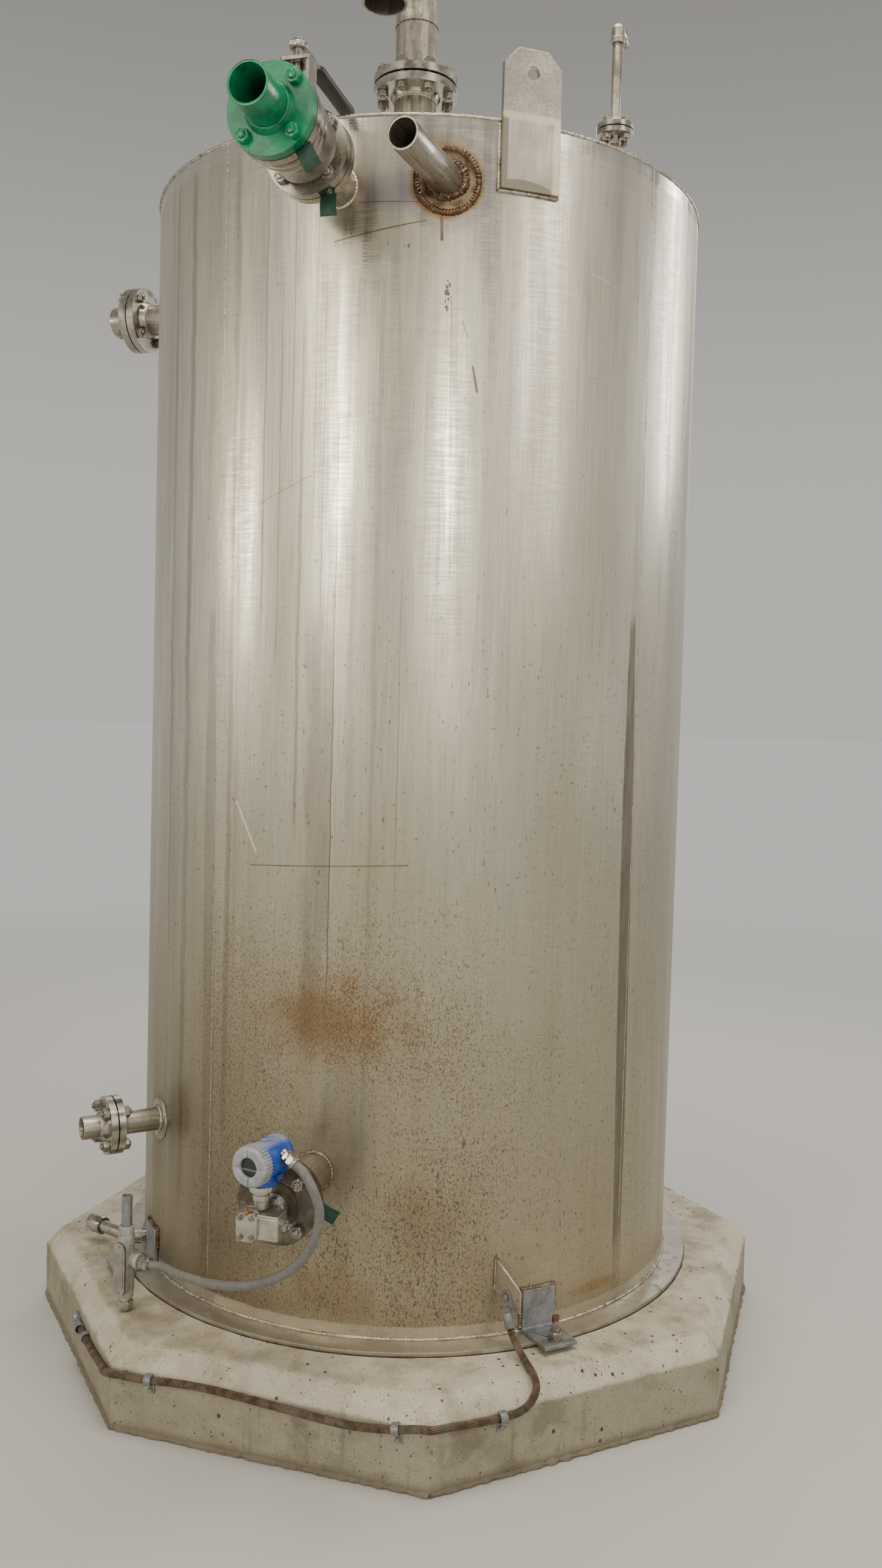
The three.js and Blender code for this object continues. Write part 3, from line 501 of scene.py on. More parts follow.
wall_steel, place = new_finish("brushed_wall")
aside, depth, up = axes(place)
turn = aside.sum("ARCTAN2", aside, depth * -1.0) * (180 / pi)
PER_DEGREE = 0.0133  # metres along the wall in one degree
arc = turn * PER_DEGREE
brush = node(place.tree, "Group", {"Place": place, "Fineness": 300}, node_tree=brushing)
hairs, weave, streaks = [Value(socket) for socket in brush.outputs]
# darker and yellower towards the foot, and a little less metallic there
toward_foot = up.between(2.2, 0.3)
streaky = aside.between(0.3, -0.25, 0.3, 1.0)
broad = grain(place, 3.4, 5, stretch=(1, 1, 0.22)).between(0.36, 0.66)
tone = layered(
    mixed(broad, (0.535, 0.495, 0.4), (0.655, 0.62, 0.525)),
    (streaks.between(0.5, 0.7, 0, 0.55) * streaky, (0.31, 0.27, 0.205)),
    (streaks.between(0.47, 0.31, 0, 0.6) * streaky, (0.76, 0.735, 0.67)),
    (hairs.between(0.36, 0.68, 0, 0.34), (0.33, 0.29, 0.225)),
    (weave.between(0.42, 0.68, 0, 0.22), (0.34, 0.305, 0.24)),
    (toward_foot * 0.68, (0.345, 0.295, 0.18)),
    # painted shade: the lower left of the wall is darkened for the shadows that fall on it
    (aside.between(-0.12, -0.5) * up.between(1.3, 0.5) * 0.58, (0.2, 0.165, 0.105)),
    (up.between(1.75, 1.35) * up.between(0.3, 0.5) * 0.24, (0.22, 0.2, 0.14)),
)

# where each mark is: an upright line, a ragged patch, or a scratch between two points,
# all given in degrees round the wall and metres above the floor
wander = grain(place, 4.5, 4, 0.6, (0, 0, 1)) - 0.5
ragged_edge = grain(place, 16, 5) - 0.5


def line_at(degrees, width, low, high):
    off = abs(turn - degrees + wander * (width * 2 + 0.6))
    return off.between(width, width * 0.4) * (up.between(low - 0.12, low) * up.between(high + 0.12, high))


def patch_at(degrees, height, wide, tall, ragged):
    off, rise = (turn - degrees) * (PER_DEGREE / wide), (up - height) * (1 / tall)
    return ((off * off + rise * rise).root() + ragged_edge * ragged).between(1.0, 0.25)


def scratch_from(degrees, height, end_degrees, end_height, wide):
    run, climb = (end_degrees - degrees) * PER_DEGREE, end_height - height
    x, y = arc - degrees * PER_DEGREE, up - height
    long = run * run + climb * climb
    along = x.sum("ADD", x * (run / long), y * (climb / long), clamp=True)
    x, y = x - along * run, y - along * climb
    return ((x * x + y * y).root() + ragged_edge * wide).between(wide, wide * 0.35)


# drips and dark bands, with the side and the back less streaked: degrees, half width,
# lower and upper end, and depth
for *drip, deep in [
    (-15.4, 0.16, 1.1, 2.35, 0.8), (-16.2, 1.1, 1.25, 2.1, 0.34), (-18.6, 2.5, 0.95, 1.9, 0.4),
    (-18.2, 0.1, 2.05, 2.62, 0.6), (-12.2, 0.8, 1.5, 2.7, 0.2), (-22.5, 0.45, 1.5, 2.6, 0.4),
    (-27.0, 0.16, 1.9, 2.6, 0.45), (-20.0, 0.16, 2.2, 2.9, 0.4), (-24.5, 0.2, 2.3, 2.9, 0.4),
    (-30.5, 0.3, 2.0, 2.95, 0.4), (-8.0, 0.6, 0.6, 2.7, 0.2), (-3.4, 0.1, 1.35, 2.0, 0.5),
    (-37.5, 0.9, 0.7, 3.0, 0.35), (-51.0, 1.2, 0.5, 3.0, 0.4), (-58.0, 0.9, 0.4, 3.0, 0.35),
    (75.0, 0.8, 0.4, 2.8, 0.3), (110.0, 1.0, 0.5, 2.9, 0.35), (165.0, 1.2, 0.4, 2.6, 0.35),
    (-130.0, 1.1, 0.4, 2.9, 0.35), (-95.0, 0.7, 0.6, 2.8, 0.35), (-112.0, 0.3, 1.4, 2.85, 0.5),
]:
    tone = mixed(line_at(*drip) * streaks.between(0.25, 0.55, 0.5 * deep, deep), tone, (0.12, 0.095, 0.07))

# strips beside the seams, left dark because they were never brushed: they start narrow,
# lean over the seam on their way down and fade before the foot
seam_strip = 0.0
beside = up.between(1.9, 0.3, 1.85, 0.55)
half = up.between(2.02, 1.45, 0.85, 1.65) * up.between(0.9, 0.35, 1.0, 0.75)
jagged = wander * 0.5 + ragged_edge * 0.35
shown = up.between(2.01, 1.95, 0.12, 1.0) * up.between(0.29, 0.42, 0.25, 1.0)
for degrees, strength in [(47, 1.0), (137, 1.0), (-133, 1.0), (-41, 0.45)]:
    strip = (abs(turn - degrees + (beside + jagged)) / half).between(1.12, 0.97)
    seam_strip = (strip * shown * strength).most(seam_strip)
patchy = grain(place, 60, 4, stretch=(1, 1, 0.12)).between(0.35, 0.65, 0.72, 0.88)
tone = mixed(seam_strip * patchy, tone, (0.135, 0.112, 0.08))

# stains, and one painted shadow: degrees, height, half width, half height, raggedness, depth and colour
rust = patch_at(-15.0, 0.985, 0.26, 0.155, 0.8)
tone = mixed(rust * 0.46, tone, (0.3, 0.2, 0.095))
for *stain, deep, colour in [
    (-17.3, 0.99, 0.14, 0.09, 0.8, 0.4, (0.16, 0.098, 0.042)),
    (40.0, 0.282, 0.12, 0.022, 1.3, 0.55, (0.33, 0.18, 0.06)),
    (3.4, 0.5, 0.13, 0.14, 1.6, 0.3, (0.26, 0.16, 0.06)),
    (-12.5, 0.33, 0.14, 0.1, 1.6, 0.38, (0.24, 0.14, 0.055)),
    (17.0, 0.36, 0.16, 0.12, 1.6, 0.25, (0.24, 0.17, 0.07)),
    # painted shadow on the wall beside the level transmitter, not a stain
    (-20.0, 0.6, 0.27, 0.16, 0.5, 0.2, (0.155, 0.13, 0.095)),
    (-7.0, 2.93, 0.1, 0.07, 0.5, 0.42, (0.225, 0.225, 0.3)),
    (0.5, 3.05, 0.09, 0.05, 1.0, 0.6, (0.32, 0.19, 0.07)),
    (-11.7, 2.66, 0.02, 0.11, 0.9, 0.32, (0.18, 0.155, 0.13)),
    (-108.0, 2.8, 0.07, 0.12, 1.4, 0.4, (0.24, 0.17, 0.09)),
]:
    tone = mixed(patch_at(*stain) * deep, tone, colour)

# scratches: degrees and height of both ends, half width, depth and colour
for *scratch, deep, colour in [
    (-31.7, 1.349, -1.1, 1.369, 0.0022, 0.8, (0.2, 0.115, 0.05)),
    (-17.0, 2.828, -0.8, 2.872, 0.0022, 0.85, (0.17, 0.095, 0.05)),
    (-12.7, 2.915, -1.9, 2.914, 0.0016, 0.8, (0.08, 0.07, 0.07)),
    (4.0, 2.7, 5.0, 2.05, 0.0012, 0.7, (0.11, 0.09, 0.07)),
    (8.1, 2.543, 9.0, 2.486, 0.0036, 0.8, (0.08, 0.07, 0.06)),
    (6.1, 2.646, 7.1, 2.61, 0.0016, 0.7, (0.1, 0.085, 0.07)),
    (1.9, 2.885, 2.1, 2.83, 0.0052, 0.85, (0.12, 0.045, 0.03)),
    (-31.7, 2.225, -20.4, 2.289, 0.0016, 0.6, (0.13, 0.105, 0.08)),
    (-35.4, 1.502, -30.6, 1.383, 0.0034, 0.8, (0.78, 0.76, 0.7)),
    (11.0, 2.6, 28.0, 2.95, 0.001, 0.35, (0.2, 0.17, 0.13)),
    (-2.0, 2.36, 12.0, 2.8, 0.001, 0.35, (0.2, 0.17, 0.13)),
    (31.0, 2.8, 39.0, 2.78, 0.0016, 0.6, (0.8, 0.78, 0.7)),
    (-14.0, 2.765, -7.0, 2.775, 0.0014, 0.6, (0.82, 0.8, 0.72)),
]:
    tone = mixed(scratch_from(*scratch) * deep, tone, colour)

# specks cover the lower half thickly, thin out towards the top, and grow near the foot
cover = up.between(1.75, 0.95) * grain(place, 3.2, 3).between(0.3, 0.6, 0.7, 1.05)
cover = cover * aside.between(-0.63, -0.48, 0.35, 1.0) * aside.between(0.05, 0.45, 1.0, 0.62) + rust * 0.32
dirt = patch_at(3.4, 2.7, 0.018, 0.075, 0.6).most(patch_at(-3.9, 2.815, 0.022, 0.018, 0.6))
grown = (cover * up.between(1.1, 0.55, 0.4, 0.78)).most(dirt * 1.2)
small, large = speckled(place, 270, cover), speckled(place, 150, grown)
for mask, deep, colour in [
    (speckled(place, 470, cover), 0.55, (0.18, 0.135, 0.08)), (small, 0.68, (0.145, 0.108, 0.065)),
    (large, 0.78, (0.11, 0.08, 0.05)),
    (speckled(place, 130, up.between(2.6, 1.6, 0.3, 0.55)), 0.65, (0.14, 0.105, 0.07)),
]:
    tone = mixed(mask * deep, tone, mixed(rust, colour, (0.17, 0.085, 0.03)))

# heat tint round the welded branches: straw and brown, then blue-grey outside
for degrees, height, radius, deep in [
    (-16.6, 2.951, 0.044, 0.5), (2.8, 2.964, 0.073, 0.9), (-108, 2.93, 0.044, 0.5),
    (-61.2, 0.624, 0.052, 0.5), (-71, 0.256, 0.018, 0.4), (-17, 0.616, 0.044, 0.25),
]:
    away = measured("DISTANCE", place, on_wall(degrees, height).translation, "Value")
    away = away - radius + ragged_edge * 0.03
    blue = away.between(0.012, 0.028) * away.between(0.055, 0.032)
    tone = mixed(away.between(0.028, 0.004) * deep, tone, (0.25, 0.155, 0.07))
    tone = mixed(blue * deep * 0.45, tone, (0.24, 0.24, 0.28))

# a cleaned band under the rim, and the foot, where the grinding wheel left it bright; the foot band's lighter
# colour is also a painted reflection
cleaned = (up + ragged_edge * 0.02).between(3.068, 3.078)
ground_and_glare = (up + ragged_edge * 0.012).between(0.251, 0.245)
tone = layered(tone, (cleaned * 0.5, (0.7, 0.675, 0.62)), (ground_and_glare * 0.6, (0.68, 0.625, 0.49)))
dull = small.most(large).most(seam_strip * 0.5)
gloss = streaks.between(0.34, 0.62, 0.25, 0.4) + weave.between(0.35, 0.65, -0.03, 0.05) + dull * 0.25
gloss = gloss + up.between(1.9, 0.5, 0, 0.1) - cleaned.most(ground_and_glare) * 0.1
relief = hairs * 0.6 + weave * 0.35 - large * 0.3 + grain(place, 5.5, 2, stretch=(1, 1, 0.5)) * 8.0
finished(wall_steel, tone, gloss, toward_foot.between(0, 1, 0.97, 0.86) - dull * 0.3, relief, 0.00022)

WALL_T, WALL_FOOT, WALL_TOP = 0.006, 0.2163, 3.1087
bores = [(-16.6, 2.951, None, 0.0447), (2.8, 2.964, -23, 0.0368), (-108, 2.93, None, 0.0447),
         (-61.2, 0.624, None, 0.0304), (-71, 0.256, None, 0.017), (-17, 0.616, None, 0.0447)]
cutters = []
for degrees, z, facing, radius in bores:
    bpy.ops.mesh.primitive_cylinder_add(vertices=48, radius=radius, depth=0.18)
    bpy.context.object.matrix_world = on_wall(degrees, z, WALL_R, facing)
    cutters.append(bpy.context.object)
SEAMS = [47, 137, 227, 319]
corners = [(WALL_R - WALL_T, WALL_FOOT), (WALL_R, WALL_FOOT), (WALL_R, WALL_TOP),
           (WALL_R - WALL_T, WALL_TOP)]
for number, (start, end) in enumerate(zip(SEAMS, [*SEAMS[1:], SEAMS[0] + 360]), 1):
    start, end = start + 0.012, end - 0.012
    ways = [start + (end - start) * i / 96 for i in range(97)]
    rows = [[on_wall(way, z, r).translation for r, z in corners] for way in ways]
    sheet = piece(f"wall_sheet_{number}", skin(rows), wall_steel, "stainless", stands_for=f"shell_{number}")
    for cutter, (degrees, *_) in zip(cutters, bores):
        if any(start - 10 < way < end + 10 for way in (degrees % 360, degrees + 360)):
            cut = sheet.modifiers.new("bore", "BOOLEAN")
            cut.object = cutter
            cut.solver = "EXACT"
    if sheet.modifiers:
        cut_mesh = bpy.data.meshes.new_from_object(sheet.evaluated_get(bpy.context.evaluated_depsgraph_get()))
        sheet.modifiers.clear()
        sheet.data = cut_mesh
    mesh = sheet.data
    mesh.shade_smooth()
    normals = [None] * len(mesh.loops)
    for face in mesh.polygons:
        lean = face.normal.dot(Vector((*face.center.xy, 0)).normalized())
        for loop in face.loop_indices:
            p = mesh.vertices[mesh.loops[loop].vertex_index].co
            outwards = Vector((*p.xy, 0)).normalized()
            normals[loop] = outwards * copysign(1, lean) if abs(lean) > 0.9 else face.normal
    mesh.normals_split_custom_set(normals)
for cutter in cutters:
    bpy.data.objects.remove(cutter)


# Welds
# Ropes of weld metal, laid by hand in small ripples and left bright or straw-coloured.
# They join the wall to the floor plate, the roof, the seams and every branch.
weld_metal = clouded("weld_metal", 26, (0.56, 0.53, 0.47), (0.36, 0.315, 0.245), (0.2, 0.38), 0.95,
                     [(60, 0.55, 0.68, 0.9, (0.13, 0.1, 0.07))], (700, 3, 0.0002))


def weld(name, *beads, metal=weld_metal, matrix=Matrix(), slot="stainless"):
    piece(name, joined(*beads), metal, slot, matrix, angle=80)


def bead(points, radius, pitch=0.0036, closed=True, sides=7, steps=3, lump=0.16):
    points = [Vector(p) for p in points]
    loop = points + points[:1] if closed else points
    line = []
    for a, b in zip(loop, loop[1:]):
        count = max(1, round((b - a).length / (pitch / steps)))
        line += [a.lerp(b, i / count) for i in range(count)]
    if not closed:
        line.append(loop[-1])
    ripples = [lump * sin(2 * pi * i / steps + 2.5 * noise.noise(p * 60)) for i, p in enumerate(line)]
    radii = [radius * (1 + ripple + lump * 1.8 * noise.noise(p * 110)) for p, ripple in zip(line, ripples)]
    return swept(line, radii, sides, closed)


# the line where a pipe that stands on the matrix meets a round wall
def meeting(matrix, pipe_r, wall_r, count=72):
    points = []
    d = matrix.to_3x3() @ Vector((0, 0, 1))
    for a in turns(count):
        p = matrix @ Vector((*polar(pipe_r, a), 0))
        qa = d.x**2 + d.y**2
        qb = 2 * (p.x * d.x + p.y * d.y)
        qc = p.x**2 + p.y**2 - wall_r**2
        points.append(p + d * (-qb + sqrt(qb * qb - 4 * qa * qc)) / (2 * qa))
    return points


def hoop(r, z):
    return [on_wall(degrees, z, r).translation for degrees in range(360)]


weld("foot_weld", bead(hoop(0.7638, 0.2178), 0.0044, 0.0052, sides=6))
weld("rim_weld", bead(hoop(0.7612, 3.1118), 0.0044, 0.0056, sides=6))
heights = [0.222 + 2.886 * i / 240 for i in range(241)]
upright = [[on_wall(degrees, z, 0.7608).translation for z in heights] for degrees in SEAMS]
weld("seam_welds", *(bead(points, 0.0019, 0.009, closed=False, sides=6) for points in upright))


# Floor plate
# A 12 mm stainless plate that stands out past the wall as a base ring. It rests on the
# plinth in a thin dark bed, and the wall is welded to it all round.
def softened(profile, radius):
    out = []
    count = len(profile)
    for i in range(count):
        p = Vector(profile[i])
        a = Vector(profile[i - 1]) - p
        b = Vector(profile[(i + 1) % count]) - p
        if p.x < 1e-6 or a.angle(b) > radians(165):
            out.append(tuple(p))
            continue
        reach = min(radius, a.length * 0.4, b.length * 0.4)
        first, last = p + a.normalized() * reach, p + b.normalized() * reach
        out += [tuple(first), tuple((first + last) * 0.25 + p * 0.5), tuple(last)]
    return out


def turned(profile, sides=96, soft=0):
    profile = softened(profile, soft) if soft else profile
    count = len(profile)
    verts = [(*polar(r, a), z) for a in turns(sides) for r, z in profile]
    faces = []
    for i in range(sides):
        j = (i + 1) % sides
        for k in range(count):
            m = (k + 1) % count
            if profile[k][0] > 1e-6 or profile[m][0] > 1e-6:
                faces.append((i * count + k, j * count + k, j * count + m, i * count + m))
    return verts, faces


def tube(inner, outer, z0, z1, sides=64, soft=0.0007):
    return turned([(inner, z0), (outer, z0), (outer, z1), (inner, z1)], sides, soft)


plate_steel, place = new_finish("plate_steel")
dirt = grain(place, 34, 6, 0.65).between(0.5, 0.72)
tone = layered(
    mixed(grain(place, 7, 6, 0.6).between(0.35, 0.65), (0.4, 0.355, 0.285), (0.5, 0.46, 0.39)),
    (dirt * 0.6, (0.2, 0.16, 0.11)),
    (speckled(place, 260, 0.6) * 0.6, (0.13, 0.09, 0.055)),
)
finished(plate_steel, tone, dirt.between(0, 1, 0.36, 0.62), 0.88, grain(place, 60, 5), 0.0005)
base = tube(0, 0.825, 0.2046, 0.216, 288, 0.0025)
piece("base_ring", base, plate_steel, "stainless", stands_for="base_plate")
bedding, place = new_finish("dark_bedding")
tone = mixed(grain(place, 60, 4), (0.012, 0.01, 0.008), (0.05, 0.04, 0.03))
finished(bedding, tone, 0.9, 0.0, grain(place, 200, 3), 0.0006)
verts, faces = turned([(0.79, 0.2035), (0.8268, 0.2035), (0.8262, 0.2052), (0.79, 0.2052)], 288)
verts = [Vector(v) * (1 + 0.0022 * noise.noise(Vector(v) * 25)) for v in verts]
verts = [Vector((v.x, v.y, max(0.2035, min(0.2055, v.z)))) for v in verts]
piece("bedding", (verts, faces), bedding, "black_rubber")


# Roof
# A shallow cone of 6 mm stainless plate in two halves, welded along one line. Rain and
# dust leave rings and pale patches on it.
RIM, RISE = 3.115, 0.13  # the roof's height at its edge, and how much higher its middle is
roof_steel = clouded("roof_plate", 3.5, (0.42, 0.385, 0.315), (0.58, 0.55, 0.49), (0.55, 0.38), 0.85,
                     [(13, 0.53, 0.7, 0.55, (0.25, 0.21, 0.15)), (48, 0.45, 0.7, 0.35, (0.46, 0.42, 0.35)),
                      (150, 0.6, 0.7, 0.6, (0.18, 0.14, 0.1))], (60, 5, 0.0004))
cone = [(0.0, 3.239), (WALL_R, 3.1093), (0.7622, 3.1115)]
cone += [(WALL_R * (1 - t), RIM + RISE * t - 0.003 * exp(-(((1 - t) / 0.06) ** 2)))
         for t in (i / 12 for i in range(13))]
piece("roof_cone", turned(cone, 288), roof_steel, "stainless", stands_for="roof", angle=30)
ridge = [(0.761 * s * cos(0.5), 0.761 * s * sin(0.5), 3.1155 + RISE * (1 - abs(s)))
         for s in (1 - 2 * i / 200 for i in range(201))]
weld("roof_seam", bead(ridge, 0.0022, 0.007, closed=False, sides=6))


def roof_height(x, y):
    return RIM + RISE * (1 - hypot(x, y) / WALL_R)


# Lifting lugs
# Flat 16 mm plates of stainless steel with cut corners and a shackle hole, one in front
# and one behind. Each is fillet-welded to the wall along its sides and its foot.
def pressed(outline, z0, z1, holes=()):
    rings = [[Vector((x, y, 0)) for x, y in ring] for ring in (outline, *holes)]
    points = [p for ring in rings for p in ring]
    flat = [tuple(face) for face in tessellate_polygon(rings)]
    count = len(points)
    verts = [(p.x, p.y, z) for z in (z0, z1) for p in points]
    faces = [tuple(reversed(face)) for face in flat] + [tuple(i + count for i in face) for face in flat]
    start = 0
    for ring in rings:
        for k in range(len(ring)):
            m = (k + 1) % len(ring)
            faces.append((start + k, start + m, start + m + count, start + k + count))
        start += len(ring)
    return verts, faces


def round_hole(x, y, r, count=32):
    return [polar(r, a, x, y) for a in turns(count)]


lug_steel = clouded("lug_plate", 9, (0.34, 0.32, 0.275), (0.44, 0.42, 0.37), (0.42, 0.32), 0.95,
                    [(38, 0.54, 0.72, 0.45, (0.3, 0.265, 0.21)), (210, 0.6, 0.72, 0.6, (0.2, 0.15, 0.1)),
                     (5, 0.52, 0.66, 0.35, (0.52, 0.5, 0.45))], (160, 4, 0.0002), (0.4, 0.6))
# the free part is mottled, a straw band shows where the rim is welded behind, and the fixed part is
# brushed, with a dull border left by the grinding wheel and a painted highlight along its right edge
shader = lug_steel.node_tree.nodes["Principled BSDF"]
place = local(lug_steel.node_tree)
across, height, _ = axes(place)
wavy = (grain(place, 34, 4) - 0.5) * 0.012
fixed = (height + wavy).between(0.168, 0.162)
arch = across + 0.02
arch = height + arch * arch * 2.5
border = across.between(-0.0575, -0.06).most(arch.between(0.0245, 0.0225))
glint_and_heat_band = (across + wavy).between(0.052, 0.058) * fixed
glint_and_heat_band = glint_and_heat_band.most(abs(height + wavy - 0.167).between(0.012, 0.005))
tone = layered(
    Value(shader.inputs["Base Color"].links[0].from_socket),
    ((1.0 - fixed) * grain(place, 170, 5, 0.65).between(0.42, 0.62, 0, 0.62), (0.235, 0.215, 0.18)),
    (fixed * grain(place, 330, 3, stretch=(1, 0.03, 1)).between(0.42, 0.66, 0, 0.5), (0.3, 0.275, 0.225)),
    (border * fixed * 0.85, (0.175, 0.158, 0.12)),
    (glint_and_heat_band * 0.6, (0.66, 0.56, 0.38)),
)
filled(shader, {"Base Color": tone})


def moved_in(ring, by):
    out = []
    for i, (x, y) in enumerate(ring):
        before = (Vector((x, y)) - Vector(ring[i - 1])).normalized()
        after = (Vector(ring[(i + 1) % len(ring)]) - Vector((x, y))).normalized()
        first, second = Vector((-before.y, before.x)), Vector((-after.y, after.x))
        shift = (first + second) / (1 + first.dot(second)) * by
        out.append((x + shift.x, y + shift.y))
    return out


def soft_plate(outline, z0, z1, hole, soft):
    parts, flats = [], []
    for ring in (outline, hole[::-1]):
        inner, near = moved_in(ring, soft), moved_in(ring, soft * 0.3)
        levels = [(inner, z0), (near, z0 + soft * 0.3), (ring, z0 + soft), (ring, z1 - soft),
                  (near, z1 - soft * 0.3), (inner, z1)]
        parts.append(skin([[(x, y, z) for x, y in level] for level, z in levels], capped=False))
        flats.append([Vector((x, y, 0)) for x, y in inner])
    faces = [tuple(face) for face in tessellate_polygon(flats)]
    return joined(*parts, *(([(p.x, p.y, z) for ring in flats for p in ring], faces) for z in (z0, z1)))


# a line of weld along these corners, on the curved wall
def on_curve(corners, count):
    line = []
    for a, b in zip(corners, corners[1:]):
        for i in range(count):
            x, y = (a[n] + (b[n] - a[n]) * i / count for n in (0, 1))
            line.append((x, y, 0.0022 - WALL_R + sqrt(WALL_R**2 - x * x)))
    return line


lug_outline = [(-0.0725, 0.0), (0.0725, 0.0), (0.0725, 0.287), (0.0365, 0.323), (-0.0365, 0.323),
               (-0.0725, 0.287)]
lug_edge = [(-0.0735, 0.15), (-0.0735, 0.0), (-0.073, -0.001)]
lug_edge += [(-x, y) for x, y in reversed(lug_edge)]
for number, degrees in enumerate((17.3, 197.3), 1):
    stand = on_wall(degrees, 2.953)
    plate = soft_plate(lug_outline, 0.0003, 0.0163, round_hole(0, 0.269, 0.015), 0.0016)
    plate = piece(f"lug_plate_{number}", plate, lug_steel, "stainless", stand, f"lifting_lug_{number}",
                  angle=50)
    weights = plate.modifiers.new("weights", "WEIGHTED_NORMAL")
    weights.weight = 100
    weights.keep_sharp = True
    weld(f"lug_weld_{number}", bead(on_curve(lug_edge, 12), 0.0052, 0.0045, closed=False), matrix=stand)


# Inlet
# A 2 1/2 inch pipe that enters the wall at a slant, welded into a round pad. Its welds
# were never cleaned, so they stayed black and brown.
pipe_steel, place = new_finish("pipe_steel")
drawn = grain(place, 130, 5, stretch=(1, 1, 0.05))
clouds = grain(place, 17, 6, 0.6)
tone = layered(
    mixed(drawn.between(0.35, 0.65), (0.31, 0.28, 0.23), (0.46, 0.435, 0.38)),
    (clouds.between(0.5, 0.72, 0, 0.7), (0.25, 0.2, 0.15)),
    (speckled(place, 260, 0.7) * 0.7, (0.13, 0.09, 0.05)),
)
finished(pipe_steel, tone, clouds.between(0.3, 0.7, 0.26, 0.5), 0.92, drawn + clouds * 2.0, 0.0003)
burnt_weld = clouded("burnt_weld", 45, (0.055, 0.034, 0.023), (0.19, 0.11, 0.058), (0.22, 0.42), 0.8,
                     [(130, 0.57, 0.68, 0.85, (0.55, 0.42, 0.26)), (24, 0.56, 0.7, 0.7, (0.035, 0.03, 0.03))],
                     (420, 4, 0.0004))
pad_steel = clouded("heated_pad", 30, (0.09, 0.058, 0.034), (0.25, 0.18, 0.11), (0.3, 0.46), 0.85,
                    [(70, 0.55, 0.7, 0.7, (0.08, 0.05, 0.035))], (300, 4, 0.0003))


def pad(radius, inner, height):
    top = radius - 0.003
    levels = [(radius + 0.001, 0.0), (radius, height * 0.6), (radius - 0.001, height * 0.9), (top, height)]
    levels += [(inner + (top - inner) * t, height) for t in (0.75, 0.5, 0.25, 0)]
    rows = [[(x, y, sqrt((WALL_R + lift) ** 2 - x * x) - WALL_R) for x, y in round_hole(0, 0, r, 72)]
            for r, lift in levels]
    return skin(rows, capped=False)


inlet_place = on_wall(2.8, 2.964, facing=-23)
inlet_pad_place = on_wall(2.8, 2.964)
piece("inlet_tube", tube(0.0315, 0.0365, -0.03, 0.26), pipe_steel, "stainless", inlet_place, "inlet_pipe")
piece("inlet_pad", pad(0.071, 0.034, 0.0063), pad_steel, "stainless", inlet_pad_place)
wavy_line = [p + Vector((0, 0, 0.0025)) * sin(i / 3)
             for i, p in enumerate(meeting(inlet_place, 0.0425, 0.7675))]
weld("inlet_weld", bead(meeting(inlet_place, 0.0378, 0.7688), 0.0092, 0.0085, sides=10, steps=5, lump=0.1),
     bead(wavy_line, 0.0066, 0.0095, sides=10, steps=5, lump=0.14), metal=burnt_weld)
rim_line = meeting(inlet_pad_place, 0.0725, 0.7632)
weld("inlet_pad_weld", bead(rim_line, 0.0078, 0.0085, sides=10, steps=5, lump=0.12), metal=burnt_weld)


# Lever valve
# A 3 inch class 150 ball valve in two flanged halves of cast stainless steel, with
# polished rims, bolted between the tank's branch and the green painted flange.
fitting_steel, place = new_finish("turned_steel")
x, y, z = axes(place)
rings = {0: (x * x + y * y).root(), 1: 0.0, 2: z}
marks = grain(Value(node(place.tree, "CombineXYZ", rings).outputs[0]), 900, 2)
clouds = grain(place, 26, 6, 0.62)
tone = layered(
    mixed(clouds.between(0.36, 0.62), (0.33, 0.305, 0.265), (0.45, 0.43, 0.385)),
    (grain(place, 60, 6, 0.7).between(0.54, 0.74, 0, 0.5), (0.2, 0.16, 0.12)),
    (speckled(place, 300, 0.6) * 0.7, (0.17, 0.1, 0.05)),
)
finished(fitting_steel, tone, clouds.between(0.3, 0.7, 0.16, 0.38), 0.95, marks, 0.00012)
cast_steel = clouded("cast_stainless", 19, (0.24, 0.22, 0.19), (0.36, 0.34, 0.3), (0.42, 0.28), 0.92,
                     [(75, 0.54, 0.72, 0.55, (0.14, 0.115, 0.09))], (480, 5, 0.0003))
bolt_steel = clouded("bolt_steel", 120, (0.36, 0.34, 0.3), (0.22, 0.19, 0.155), (0.24, 0.45), 0.92,
                     [(260, 0.6, 0.75, 0.8, (0.19, 0.1, 0.05))], (300, 4, 0.0002), (0.4, 0.62))
gasket_grey = clouded("gasket_ring", 90, (0.015, 0.014, 0.013), (0.055, 0.048, 0.04), (0.8, 0.6))
# the level branch's flanges: painted dark for the shade that they stand in, with stains
shade_and_stain_flange = clouded("shaded_stained_flange", 24, (0.1, 0.083, 0.062), (0.19, 0.168, 0.135), (0.52, 0.36), 0.9,
                      [(80, 0.55, 0.72, 0.6, (0.12, 0.08, 0.05)), (16, 0.56, 0.7, 0.4, (0.42, 0.39, 0.34))],
                      (420, 4, 0.0003))

